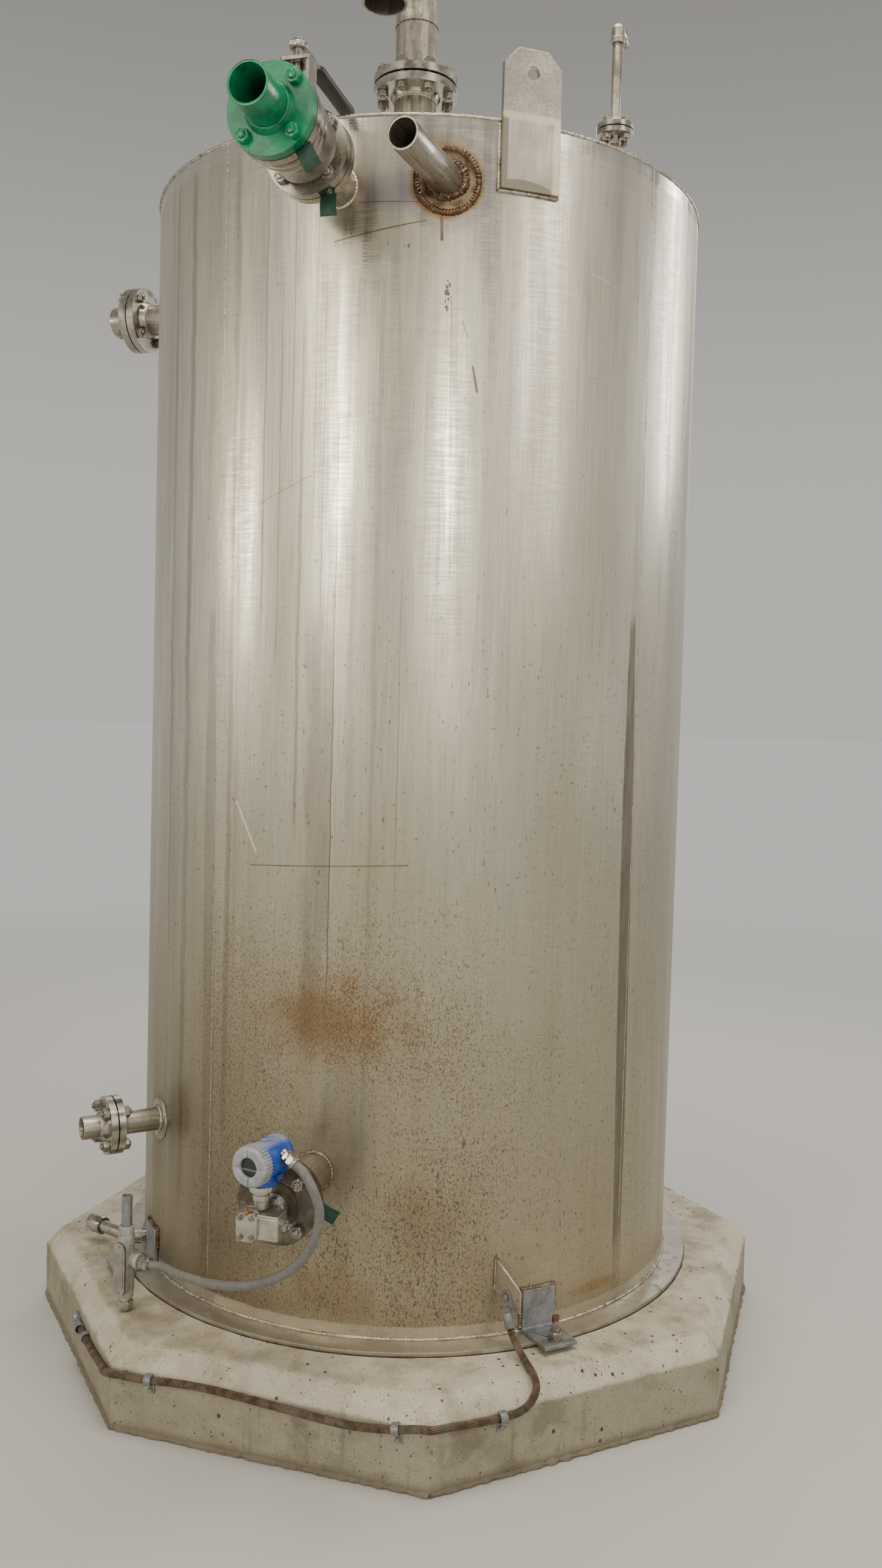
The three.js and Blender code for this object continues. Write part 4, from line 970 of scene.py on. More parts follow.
# class 150 pipe and flange sizes: pipe, its wall, flange, its thickness, bolt circle,
# number of bolts, raised face, hub and height of the raised face
Size = namedtuple("Size", "od wall flange t circle bolts face hub step")
SIZE_4 = Size(0.1143, 0.006, 0.2286, 0.0239, 0.1905, 8, 0.157, 0.135, 0.003)
SIZE_3 = Size(0.0889, 0.0055, 0.1905, 0.0239, 0.1524, 4, 0.127, 0.108, 0.0016)
SIZE_2 = Size(0.0603, 0.0039, 0.1524, 0.0191, 0.1207, 4, 0.092, 0.078, 0.0016)
SIZE_S = Size(0.0267, 0.0029, 0.0986, 0.0143, 0.0699, 4, 0.043, 0.038, 0.0016)
THIN = 0.015  # flanges thinner than this take small bolts
SEAT = 0.0003  # parts that touch stand this far apart


def bolt_places(size):
    angles = [2 * pi * (i + 0.5) / size.bolts for i in range(size.bolts)]
    return [polar(size.circle / 2, a) for a in angles]


def flange(size, z, side, bore=None, hub=0.014):
    bore = bore or size.od / 2 - size.wall
    hole_r = 0.0095 if size.t > THIN else 0.0078
    back, step = z + side * size.t, z + side * size.step
    holes = [round_hole(x, y, hole_r) for x, y in bolt_places(size)]
    plate = pressed(round_hole(0, 0, size.flange / 2, 128), min(step, back), max(step, back),
                    [round_hole(0, 0, bore, 64), *holes])
    raised = tube(bore, size.face / 2, z, step + side * 0.001, 96, 0)
    foot, top = size.hub / 2, size.hub / 2 - 0.005
    neck = [(bore, -0.002), (foot + 0.002, -0.001), (foot + 0.0006, 0.001), (foot, 0.003),
            (top + 0.0006, hub - 0.001), (top, hub), (bore, hub)]
    return joined(plate, raised, turned([(r, back + side * rise) for r, rise in neck], 80))


def hexnut(across, thick, bore=0.0001):
    rows = []
    for z in (0.0, 0.0006, 0.0013, 0.0022, thick - 0.0022, thick - 0.0013, thick - 0.0006, thick):
        reach = across * 0.48 + min(z, thick - z) * 1.9
        flats = [across / 2 / cos((a + pi / 6) % (pi / 3) - pi / 6) for a in turns(60)]
        rows.append([(min(flat, reach), z) for flat in flats])
    rows += [[edge] * 60 for edge in ((bore + 0.0008, thick), (bore, thick - 0.0012), (bore, 0.0))]
    rows = [[(*polar(r, a), z) for (r, z), a in zip(row, turns(60))] for row in rows]
    return skin(rows, closed=True)


def thread(r, z0, z1, pitch=0.0023, depth=0.0013):
    rows = []
    count = max(2, round((z1 - z0) / pitch * 6))
    for z in (z0 + (z1 - z0) * i / count for i in range(count + 1)):
        end = min(1.0, (z1 - z) / 0.0012 + 0.4, (z - z0) / 0.0012 + 0.4)
        cuts = [r - depth * abs(2 * ((z / pitch + k / 20) % 1) - 1) for k in range(20)]
        rows.append([(*polar(cut * end, a), z) for cut, a in zip(cuts, turns(20))])
    return skin(rows)


def bolting(size, low, high, stick=0.007):
    across, thick, r = (0.0222, 0.0125, 0.0062) if size.t < THIN else (0.027, 0.0155, 0.0079)
    nut = hexnut(across, thick, r)
    parts = []
    for i, (x, y) in enumerate(bolt_places(size)):
        here = at(x, y, 0) @ Matrix.Rotation(i * 1.9 + low * 40, 4, "Z")
        parts += [(*nut, here @ at(0, 0, high)), (*nut, here @ at(0, 0, low - thick)),
                  (*thread(r, high + thick - 0.004, high + thick + stick), here),
                  (*thread(r, low - thick - stick * 0.7, low - thick + 0.004), here),
                  (*tube(0, r - 0.001, low - thick, high + thick, 20, 0), here)]
    return joined(*parts)


# the bolts and the gasket between a branch that ends at this face and what is bolted on
def fastened(name, matrix, size, face, stick=0.007, metal=bolt_steel, slot="stainless", bolts="bolts"):
    piece(f"{name}_{bolts}", bolting(size, face - size.t, face + SEAT + size.t, stick), metal, slot, matrix)
    outer = size.circle / 2 - (0.0068 if size.t < THIN else 0.0088)
    ring = tube(size.face / 2 - 0.004, outer, face + SEAT / 2 - 0.0015, face + SEAT / 2 + 0.0015, 96, 0.0003)
    piece(f"{name}_gasket", ring, gasket_grey, "black_rubber", matrix)


def ring_of(r, z):
    return [(*polar(r, a), z) for a in turns(72)]


# a pipe on the wall or the roof with a flange at its end, and a weld at either end
def branch(name, matrix, size, face, node_name, wall_r=WALL_R, metal=fitting_steel, seam=weld_metal,
           foot=-0.016):
    outer = size.od / 2
    pipe = tube(outer - size.wall, outer, foot, face - 0.004)
    hub_line = ring_of(outer + 0.001, face - size.t - 0.0145)
    piece(f"{name}_flange_ring", flange(size, face, -1), metal, "stainless", matrix, node_name, ease=0.0009)
    piece(f"{name}_tube", pipe, pipe_steel, "stainless", matrix)
    weld(f"{name}_hub_weld", bead(hub_line, 0.0028, 0.004), matrix=matrix)
    if wall_r:
        rim = meeting(matrix, outer + 0.001, wall_r)
        weld(f"{name}_wall_weld", bead(rim, 0.0058, 0.0068, sides=8, steps=4, lump=0.13), metal=seam)


valve_place = on_wall(-16.6, 2.951)
branch("valve_branch", valve_place, SIZE_3, 0.178, "valve_nozzle")
START, END, BALL, JOINT = 0.1783, 0.3813, 0.2573, 0.3193  # along the valve: faces, ball's middle, joint
STAND, ALONG_X = tilt(-90, "X"), tilt(90, "Y")


def stood(part, z=BALL, x=0.0):
    return (*part, at(x, 0, z) @ STAND)


def block(x0, x1, y0, y1, z0, z1):
    return pressed([(x0, y0), (x1, y0), (x1, y1), (x0, y1)], z0, z1)


def on_valve(name, part, metal, stands_for=None, lift=0.0, slot="valve_steel", **others):
    piece(name, part, metal, slot, valve_place @ at(0, lift, 0), stands_for, **others)


on_valve("valve_cast_body", turned([
    (0.038, START + 0.003), (0.058, START + 0.003), (0.058, BALL - 0.052), (0.066, BALL - 0.046),
    (0.078, BALL - 0.034), (0.078, BALL + 0.036), (0.088, BALL + 0.042), (0.088, JOINT), (0.06, JOINT),
    (0.06, BALL - 0.046), (0.038, BALL - 0.046),
], 112, 0.003), cast_steel, "valve_body")
on_valve("valve_body_flange", flange(SIZE_3, START, 1, 0.038, 0.004), fitting_steel, ease=0.0012)
top_pad = [(-0.034, -0.022), (-0.026, -0.03), (0.026, -0.03), (0.034, -0.022)]
top_pad += [(-x, -y) for x, y in top_pad]
collar = [(0.0115, 0.07), (0.025, 0.07), (0.025, 0.098), (0.022, 0.104), (0.022, 0.118), (0.0115, 0.118)]
bonnet = joined(stood(pressed(top_pad, 0.066, 0.086)), stood(turned(collar, 48, 0.002)))
on_valve("valve_bonnet", bonnet, cast_steel, ease=0.0015)
packing = joined(stood(hexnut(0.034, 0.01, 0.0116)), stood(tube(0.0112, 0.0165, 0.0, 0.0024)))
on_valve("packing_nut", packing, bolt_steel, lift=0.1185)
on_valve("valve_cast_end", turned([
    (0.038, JOINT + SEAT), (0.088, JOINT + SEAT), (0.088, JOINT + 0.0203), (0.066, JOINT + 0.0225),
    (0.062, JOINT + 0.029), (0.058, END - 0.024), (0.038, END - 0.024),
], 112, 0.003), cast_steel, "valve_end")
on_valve("valve_end_flange", flange(SIZE_3, END, -1, 0.038, 0.004), fitting_steel, ease=0.0012)
rims = [tube(0.086, 0.0882, z0, z1, 128, 0.0006)
        for z0, z1 in ((BALL + 0.0445, JOINT - 0.0012), (JOINT + 0.0015, JOINT + 0.0188))]
on_valve("valve_polished_rims", joined(*rims), fitting_steel)
cap_bolts = []
for i in range(8):
    a = 2 * pi * (i + 0.5) / 8
    here = at(*polar(0.0765, a), JOINT + 0.0205) @ Matrix.Rotation(i, 4, "Z")
    cap_bolts += [(*hexnut(0.017, 0.009, 0.005), here), (*thread(0.0049, 0.005, 0.012, 0.0015, 0.0008), here)]
on_valve("valve_cap_nuts", joined(*cap_bolts), bolt_steel)
fastened("valve", valve_place, SIZE_3, 0.178, bolts="branch_bolts")

# gasket tags: thin bare plates that hang from the gaskets
tag_green = clouded("tag_green", 90, (0.0, 0.03, 0.014), (0.0, 0.048, 0.025), (0.6, 0.5), 0.0, (),
                    (200, 3, 0.0002), (0.45, 0.7))


def tag(name, matrix, wide=0.038, tall=0.05):
    verts, faces = [], []
    for side in (0.0, 0.0007):
        for i in range(9):
            for k in range(7):
                x, y = wide * (k / 6 - 0.5), -tall * i / 8
                bow = 0.004 * sin(pi * i / 8) + 0.0015 * sin(3 * x / wide + i / 3)
                verts.append((x, y, side + bow))
    for a in (i * 7 + k for i in range(8) for k in range(6)):
        faces += [(a, a + 1, a + 8, a + 7), (a + 63, a + 70, a + 71, a + 64)]
    edge = [*range(7), *range(13, 63, 7), *range(61, 55, -1), *range(49, 0, -7)]
    faces += [(a, b, b + 63, a + 63) for a, b in zip(edge, edge[1:] + edge[:1])]
    strap = block(wide / 2 - 0.011, wide / 2 - 0.005, -0.006, 0.022, 0.0006, 0.0014)
    piece(name, joined((verts, faces), strap), tag_green, "green_paint", matrix)


def hung(matrix, angle, r, z, lean, turn=0.0):
    return matrix @ at(*polar(r, radians(angle)), z) @ tilt(turn, "Z") @ tilt(lean, "X")


tag("gasket_tag_1", hung(valve_place, -48, 0.096, 0.3815, 8, 28))
tag("gasket_tag_2", hung(valve_place, -62, 0.098, 0.1785, -4, 2))

# yoke with rounded edges, screwed to the bonnet
legs = [block(x, x + 0.008, 0.0863, 0.16, BALL - 0.022, BALL + 0.022) for x in (0.026, -0.034)]
deck = [(-0.034, -0.02), (-0.028, -0.026), (0.028, -0.026), (0.034, -0.02)]
deck = stood(pressed(deck + [(-x, -y) for x, y in deck], 0.157, 0.165, [round_hole(0, 0, 0.0116)]))
on_valve("valve_bracket", joined(deck, *legs), cast_steel, "valve_yoke", ease=0.0014, steps=3)
screws = [(*hexnut(0.0095, 0.005), at(x, 0.0862, BALL + z) @ STAND)
          for x in (-0.0205, 0.0205) for z in (-0.0165, 0.0165)]
on_valve("bracket_screws", joined(*screws), bolt_steel)

# stem with its two flats and nut, and the ball with its through port
PORT, BALL_R = 0.038, 0.054
mouth = asin(PORT / BALL_R)
angles = [mouth + (pi - 2 * mouth) * i / 24 for i in range(25)]
ball_rows = [(BALL_R * sin(a), BALL - BALL_R * cos(a)) for a in angles]
ball_rows += [(PORT, ball_rows[-1][1]), (PORT, ball_rows[0][1])]
stem = [(0, 0.046), (0.011, 0.046), (0.011, 0.204), (0.0085, 0.206), (0.0085, 0.212), (0, 0.212)]
spindle = joined(turned(ball_rows, 64), stood(turned(stem, 40, 0.0008)))
on_valve("valve_spindle", spindle, fitting_steel, "valve_stem", body="lever")
bar = [(-0.014, 0.285), (-0.01, 0.2915), (0.01, 0.2915), (0.014, 0.285), (0.014, -0.02), (-0.014, -0.02)]
bar = joined(stood(pressed(bar, 0.191, 0.199)), stood(tube(0.0113, 0.02, 0.189, 0.201, 48, 0.0015)))
on_valve("lever_bar", bar, fitting_steel, "valve_lever", body="lever", ease=0.001)
on_valve("lever_nut", joined(stood(hexnut(0.024, 0.0075, 0.0112))), bolt_steel, lift=0.2012, body="lever")
grip_black = clouded("grip_vinyl", 55, (0.01, 0.01, 0.01), (0.03, 0.028, 0.026), (0.42, 0.58))
rows = []
for along, half_x, half_y in [(0.0, 0.0165, 0.0066), (0.004, 0.0185, 0.0078), (0.012, 0.019, 0.008),
                              (0.1, 0.018, 0.0078), (0.19, 0.019, 0.008), (0.206, 0.0188, 0.0079),
                              (0.213, 0.0175, 0.007), (0.215, 0.016, 0.006)]:
    rows.append([(copysign(abs(cos(a)) ** 0.35, cos(a)) * half_x,
                  0.195 + copysign(abs(sin(a)) ** 0.5, sin(a)) * half_y,
                  BALL - 0.312 + along) for a in turns(28)])
on_valve("lever_sleeve", skin(rows), grip_black, "lever_grip", slot="black_rubber", body="lever", angle=50)


# Green flange
# A slip-on flange and pipe stub of carbon steel under glossy green enamel, dirty where
# dust settles and chipped at the bolt heads.
green, place = new_finish("green_enamel")
dirt = grain(place, 52, 7, 0.72).between(0.52, 0.68)
chips = grain(place, 190, 5, 0.6).between(0.66, 0.7)
tone = layered(
    mixed(grain(place, 24, 7, 0.65).between(0.38, 0.62), (0.0, 0.135, 0.056), (0.002, 0.225, 0.095)),
    (dirt * 0.35, (0.03, 0.055, 0.035)),
    (chips, (0.16, 0.085, 0.04)),
)
finished(green, tone, dirt.between(0, 1, 0.3, 0.5), 0.0, grain(place, 140, 4) * 0.6 - chips, 0.0005,
         {"Coat Weight": 0.08})
on_valve("green_ring", flange(SIZE_3, END + SEAT, 1), green, "green_flange", slot="green_paint",
         ease=0.0018, steps=3)
on_valve("green_stub", tube(0.03895, 0.04445, END + 0.004, END + 0.1339), green, slot="green_paint")
weld("green_weld", bead(ring_of(0.0458, END + 0.0375), 0.0042, 0.0045), metal=green, matrix=valve_place,
     slot="green_paint")
fastened("green", valve_place, SIZE_3, END, metal=green, slot="green_paint")


# Side branches
# Two flanged branches on the left, 3 inch high up and 2 inch low down, each with the
# flange and first few centimetres of the pipe that joins it.
def joining(name, matrix, size, face, node_name):
    start, outer = face + SEAT, size.od / 2
    piece(f"{name}_ring", flange(size, start, 1), fitting_steel, "stainless", matrix, node_name, ease=0.0009)
    pipe = tube(outer - size.wall, outer, start + 0.004, start + size.t + 0.06)
    piece(f"{name}_stub", pipe, pipe_steel, "stainless", matrix)
    weld(f"{name}_weld", bead(ring_of(outer + 0.001, start + size.t + 0.0145), 0.0028, 0.004), matrix=matrix)
    fastened(name, matrix, size, face)


upper_place = on_wall(-108, 2.93)
branch("upper_branch", upper_place, SIZE_3, 0.175, "upper_nozzle")
joining("upper_mate", upper_place, SIZE_3, 0.175, "upper_flange")
lower_place = on_wall(-61.2, 0.624)
branch("lower_branch", lower_place, SIZE_2, 0.13, "lower_nozzle", wall_r=0.7675)
joining("lower_mate", lower_place, SIZE_2, 0.13, "lower_flange")
piece("lower_pad", pad(0.052, 0.0295, 0.0053), pipe_steel, "stainless", lower_place)
weld("lower_pad_weld", bead(meeting(lower_place, 0.0525, 0.7626), 0.0036, 0.005))


# Drain
# A 1 inch pipe of stainless steel, welded in just above the floor plate. A screwed
# elbow close to the wall turns it aside, and its short run ends in a hexagon cap.
def globe(r):
    return turned([(r * sin(pi * i / 20), -r * cos(pi * i / 20)) for i in range(21)], 40)


drain_place = on_wall(-71, 0.256)
sideways = at(0, 0, 0.046) @ tilt(-56, "Y")
band = [(0, 0), (0.0205, 0), (0.0205, 0.018), (0.0225, 0.019), (0.0225, 0.0275), (0, 0.0275)]
drain = joined(
    tube(0, 0.0167, -0.016, 0.03, 40, 0),
    turned([(0, 0.018), (0.0225, 0.018), (0.0225, 0.0265), (0.021, 0.0275), (0.021, 0.046), (0, 0.046)], 40),
    (*globe(0.021), at(0, 0, 0.046)),
    (*turned(band, 40, 0.001), sideways),
    (*tube(0, 0.0167, 0.02, 0.125, 40, 0), sideways),
)
piece("drain_elbow", drain, pipe_steel, "stainless", drain_place, "drain_pipe")
cap = joined((*tube(0.0172, 0.024, 0.112, 0.15, 48, 0.0015), sideways),
             (*hexnut(0.04, 0.018), sideways @ at(0, 0, 0.148)))
piece("drain_plug", cap, fitting_steel, "valve_steel", drain_place, "drain_cap")
weld("drain_weld", bead(meeting(drain_place, 0.0175, WALL_R, 48), 0.0034, 0.0045))


# Level transmitter
# A blue powder-coated head with a grey ribbed cover and a dark window, on a silver
# sensor block that is screwed into a blind flange.
level_place = on_wall(-17, 0.616)
dull_weld = clouded("dull_weld", 60, (0.27, 0.23, 0.155), (0.15, 0.12, 0.08), (0.3, 0.5), 0.9)
branch("level_branch", level_place, SIZE_3, 0.206, "level_nozzle", metal=shade_and_stain_flange, seam=dull_weld)
BACK = 0.2302  # the back of the blind flange
blind = flange(SIZE_3, 0.2063, 1, 0.012, 0.003)
piece("level_blind", blind, shade_and_stain_flange, "stainless", level_place, "level_flange", ease=0.0009)
boss = [(0, BACK - 0.004), (0.03, BACK - 0.004), (0.03, BACK + 0.014), (0.024, BACK + 0.0145),
        (0.024, 0.2617), (0, 0.2617)]
adapter = joined(turned(boss, 64, 0.001), thread(0.0256, BACK + 0.015, 0.2612, 0.0045, 0.002))
piece("level_adapter", adapter, fitting_steel, "stainless", level_place)
fastened("level", level_place, SIZE_3, 0.206)
tag("gasket_tag_3", hung(level_place, 0, 0.092, 0.2095, 4, 62), 0.034, 0.05)

sensor_steel = clouded("sensor_block", 44, (0.41, 0.39, 0.34), (0.52, 0.5, 0.455), (0.4, 0.27), 0.9,
                       [(130, 0.57, 0.72, 0.5, (0.24, 0.2, 0.15))], (600, 4, 0.0002), (0.38, 0.62))
LOW, HIGH, AT = -0.051, 0.013, 0.3
cut_plate = [(-0.052, LOW + 0.012), (-0.042, LOW), (-0.012, LOW), (-0.002, LOW + 0.012),
             (-0.002, HIGH - 0.012), (-0.012, HIGH), (-0.042, HIGH), (-0.052, HIGH - 0.012)]
slices = [(-0.034, -0.009), (-0.006, 0.012), (0.015, 0.034)]
sensor = joined(
    *(pressed(cut_plate, AT + low, AT + high) for low, high in slices),
    pressed([(x * 0.93 - 0.002, y * 0.93 - 0.0013) for x, y in cut_plate], AT - 0.033, AT + 0.033),
    block(-0.006, 0.044, LOW + 0.004, HIGH - 0.004, AT - 0.028, AT + 0.024),
    block(-0.03, 0.026, LOW + 0.006, HIGH - 0.006, 0.262, AT),
    block(-0.006, 0.041, LOW + 0.01, HIGH - 0.01, AT + 0.02, AT + 0.0255),
)
piece("sensor_body", sensor, sensor_steel, "valve_steel", level_place, "level_sensor", ease=0.0022, steps=3)
plug_place = at(0.042, -0.019, AT - 0.002) @ ALONG_X
plug = joined((*hexnut(0.0245, 0.016), plug_place), (*tube(0, 0.0135, -0.004, 0.001, 32, 0), plug_place),
              (*hexnut(0.014, 0.008), plug_place @ at(0, 0, 0.0158)))
piece("sensor_plug", plug, bolt_steel, "valve_steel", level_place)
studs = []
for x in (-0.04, -0.014):
    for y in (LOW + 0.01, HIGH - 0.01):
        here = at(x, y, AT + 0.0338)
        studs += [(*hexnut(0.0115, 0.006), here), (*tube(0, 0.0036, -0.004, 0.009, 16, 0), here)]
piece("sensor_bolts", joined(*studs), bolt_steel, "valve_steel", level_place)

brass = clouded("brass_screw", 200, (0.5, 0.36, 0.14), (0.34, 0.22, 0.08), (0.34, 0.26), 0.95, (),
                (500, 3, 0.0001))
vents = []
for x, y in ((-0.027, HIGH + 0.0005), (-0.044, LOW + 0.006)):
    here = at(x, y, AT + 0.024)
    vents += [(*hexnut(0.011, 0.014), here), (*tube(0, 0.003, 0, 0.018, 20, 0.0006), here)]
piece("vent_screws", joined(*vents), brass, "valve_steel", level_place)
neck = [(0, 0.0133), (0.016, 0.0133), (0.016, 0.03), (0.0185, 0.031), (0.0185, 0.044), (0.016, 0.045),
        (0.016, 0.0515), (0.027, 0.0525), (0.027, 0.0655), (0, 0.0655)]
piece("level_column", joined(stood(turned(neck, 56, 0.0012), AT - 0.008, -0.01)), sensor_steel, "valve_steel",
      level_place, "level_neck")

blue, place = new_finish("blue_coating")
wear = grain(place, 34, 6, 0.65)
dusty = axes(place)[1].between(0.031, 0.041) * wear.between(0.3, 0.55, 0.5, 1)
tone = mixed(wear.between(0.4, 0.65), (0.006, 0.045, 0.3), (0.015, 0.085, 0.4))
tone = mixed(dusty * 0.7, tone, (0.29, 0.29, 0.32))
finished(blue, tone, dusty.between(0, 1, 0.33, 0.7), 0.0, grain(place, 420, 4), 0.0004)
case = [(0, -0.064), (0.04, -0.064), (0.044, -0.0605), (0.044, -0.051), (0.0405, -0.049), (0.0405, -0.03),
        (0.042, -0.028), (0.042, 0.016), (0.0405, 0.018), (0.0405, 0.025), (0, 0.025)]
under = [(0, -0.056), (0.027, -0.056), (0.027, -0.046), (0.024, -0.04), (0.024, 0.0), (0, 0.0)]
ridges = block(-0.0022, 0.0022, 0.041, 0.0445, -0.062, -0.052)
housing = joined(
    turned(case, 96, 0.0018), stood(turned(under, 48, 0.0015), -0.01),
    *((*ridges, Matrix.Rotation(a, 4, "Z")) for a in turns(24)),
    block(-0.007, 0.007, 0.036, 0.0465, -0.012, 0.002), block(0.02, 0.034, -0.043, -0.03, -0.03, -0.012),
)
piece("level_case", housing, blue, "blue_paint", head_place, "level_housing", ease=0.0008)

cover_paint = clouded("cover_paint", 50, (0.25, 0.265, 0.28), (0.36, 0.375, 0.39), (0.55, 0.42), 0.0,
                      [(160, 0.6, 0.72, 0.6, (0.22, 0.2, 0.18))], (500, 4, 0.0002))
verts, faces = turned([(0.021, 0.0253), (0.0435, 0.0253), (0.0435, 0.052), (0.04, 0.0575), (0.0235, 0.0575),
                       (0.0215, 0.0555)], 160, 0.0016)
verts = [Vector(v) for v in verts]
for v in verts:
    a = atan2(v.y, v.x) * 180 / pi % 90
    if v.z > 0.0535 and min(abs(a - 2), abs(a - 92), abs(a + 88)) < 2.6:
        v.z -= 0.0035
rib = block(-0.0019, 0.0019, 0.042, 0.0458, 0.0262, 0.05)
flutes = [(*rib, Matrix.Rotation(a, 4, "Z")) for a in turns(40)]
piece("level_front", joined((verts, faces), *flutes), cover_paint, "cover_grey", head_place, "level_cover",
      angle=40, ease=0.0006)

glass, place = new_finish("window_glass")
height = axes(place)[1]
pale = height.between(-0.0085, -0.0075) * height.between(-0.0035, -0.0045)
tone = mixed(grain(place, 70, 4), (0.008, 0.014, 0.012), (0.022, 0.034, 0.03))
finished(glass, mixed(pale * 0.8, tone, (0.15, 0.19, 0.16)), 0.09, 0.0, grain(place, 60, 2), 0.0001)
pane = turned([(0, 0.03), (0.0208, 0.03), (0.0208, 0.05), (0, 0.0505)], 64, 0.0008)
piece("level_window", pane, glass, "display_glass", head_place, "level_display")
gland = joined(
    tube(0, 0.013, 0.004, 0.012, 40, 0.0006),
    (*hexnut(0.0295, 0.01), at(0, 0, 0.012)),
    tube(0, 0.0142, 0.022, 0.0245, 40, 0.0004),
    (*hexnut(0.032, 0.0135), at(0, 0, 0.0245)),
    turned([(0.0118, 0.036), (0.0155, 0.036), (0.0135, 0.044), (0.0118, 0.044)], 48, 0.0006),
)
piece("head_gland", gland, fitting_steel, "valve_steel", gland_place, "level_gland")


# Conduit body
# A cast aluminium conduit body under grey paint, with an oval steel cover on a black
# gasket, screwed hubs, the stub of its riser and a plug stem down to the plinth.
box_place = on_wall(0, 0, 0, -28)
box_place.translation = (-0.7, -0.603, 0)
cast_grey = clouded("cast_grey", 33, (0.29, 0.285, 0.255), (0.42, 0.41, 0.365), (0.58, 0.45), 0.35,
                    [(90, 0.55, 0.7, 0.7, (0.15, 0.125, 0.09))], (420, 5, 0.0005))


def oval(half, low, high):
    top = [polar(half, pi * i / 24, 0, high) for i in range(25)]
    return top + [(-x, low + high - y) for x, y in top]


column = [(0, 0.24), (0.019, 0.24), (0.019, 0.256), (0.0205, 0.26), (0.0205, 0.396), (0.019, 0.4),
          (0.019, 0.4235), (0.014, 0.424), (0.014, 0.404), (0, 0.404)]
hub = [(0, 0), (0.0165, 0), (0.0165, 0.03), (0.019, 0.033), (0.019, 0.0435), (0, 0.044)]
casting = joined(stood(turned(column, 56, 0.0015), 0), pressed(oval(0.0195, 0.2695, 0.3685), 0.0, 0.0238),
                 (*turned(hub, 48, 0.0012), at(0, 0.338, 0) @ ALONG_X))
piece("conduit_casting", casting, cast_grey, "cast_grey", box_place, "conduit_body", ease=0.0016, steps=3)
plug = [(0, 0.2043), (0.0135, 0.2043), (0.015, 0.208), (0.015, 0.243), (0, 0.243)]
plug = joined(stood(turned(plug, 40, 0.001), 0), (*hexnut(0.034, 0.02), at(0, 0.212, 0) @ STAND))
piece("conduit_plug", plug, fitting_steel, "cast_grey", box_place)
rubber = clouded("black_gasket", 120, (0.012, 0.012, 0.012), (0.035, 0.032, 0.028), (0.7, 0.58))
piece("cover_gasket", pressed(oval(0.0187, 0.269, 0.368), 0.0236, 0.0256), rubber, "black_rubber", box_place)
lid = joined(pressed(oval(0.018, 0.269, 0.368), 0.0254, 0.0284),
             pressed(oval(0.013, 0.276, 0.361), 0.028, 0.0293))
piece("conduit_lid", lid, fitting_steel, "galvanised", box_place, "conduit_cover", ease=0.0009)
dome = turned([(0, 0.028), (0.0042, 0.028), (0.0042, 0.0292), (0.0032, 0.0304), (0.0014, 0.0308),
               (0, 0.0308)], 28)
domes = joined(*((*dome, at(0, y, 0)) for y in (0.3775, 0.2595)))
piece("lid_screws", domes, bolt_steel, "galvanised", box_place)
zinc, place = new_finish("galvanised_zinc")
spangle = Value(node(place.tree, "TexVoronoi", {"Vector": place, "Scale": 130.0}).outputs["Color"])
clouds = grain(place, 30, 6, 0.62)
tone = layered(
    mixed(clouds.between(0.36, 0.64), (0.19, 0.2, 0.205), (0.31, 0.325, 0.33)),
    (axes(spangle)[0] * 0.2, (0.4, 0.415, 0.42)),
    (grain(place, 62, 6, 0.7).between(0.58, 0.72, 0, 0.7), (0.22, 0.15, 0.09)),
)
finished(zinc, tone, clouds.between(0.3, 0.7, 0.38, 0.58), 0.75, grain(place, 260, 4), 0.0003)
piece("conduit_stub", joined(stood(tube(0.0105, 0.01335, 0.4045, 0.5, 48), 0)), zinc, "galvanised", box_place,
      "conduit_riser")
gland = joined(
    tube(0, 0.013, 0.0443, 0.05, 40, 0.0006),
    (*hexnut(0.03, 0.012), at(0, 0, 0.048)),
    (*hexnut(0.032, 0.0125), at(0, 0, 0.0615)),
    turned([(0.0118, 0.07), (0.0155, 0.07), (0.0132, 0.076), (0.0118, 0.076)], 48, 0.0006),
)
piece("body_gland", gland, fitting_steel, "valve_steel", box_gland_place, "conduit_gland")


# Roof vent
# A 4 inch branch with a gooseneck bolted on, which turns down so that rain stays out.
# Its top isn't in the photograph.
def piped(points, outer, inner):
    places = carried_frames(points)
    rows = [around(place, outer, 72) for place in places]
    rows += [around(place, inner, 72) for place in places[::-1]]
    return skin(rows, closed=True)


def on_roof(x, y, r, count):
    return [(px, py, roof_height(px, py)) for px, py in round_hole(x, y, r, count)]


# what stands on a roof branch: its lower flange, with the bolts and the gasket
def standing(name, spot, size, face, node_name, ease, hub, stick=0.007):
    matrix = at(*spot, 0)
    branch(f"{name}_branch", matrix, size, face, f"{name}_nozzle", wall_r=None,
           foot=roof_height(*spot) - 0.022)
    ring = flange(size, face + SEAT, 1, hub=hub)
    piece(f"{name}_ring", ring, fitting_steel, "stainless", matrix, node_name, ease=ease)
    fastened(name, matrix, size, face, stick)
    return matrix


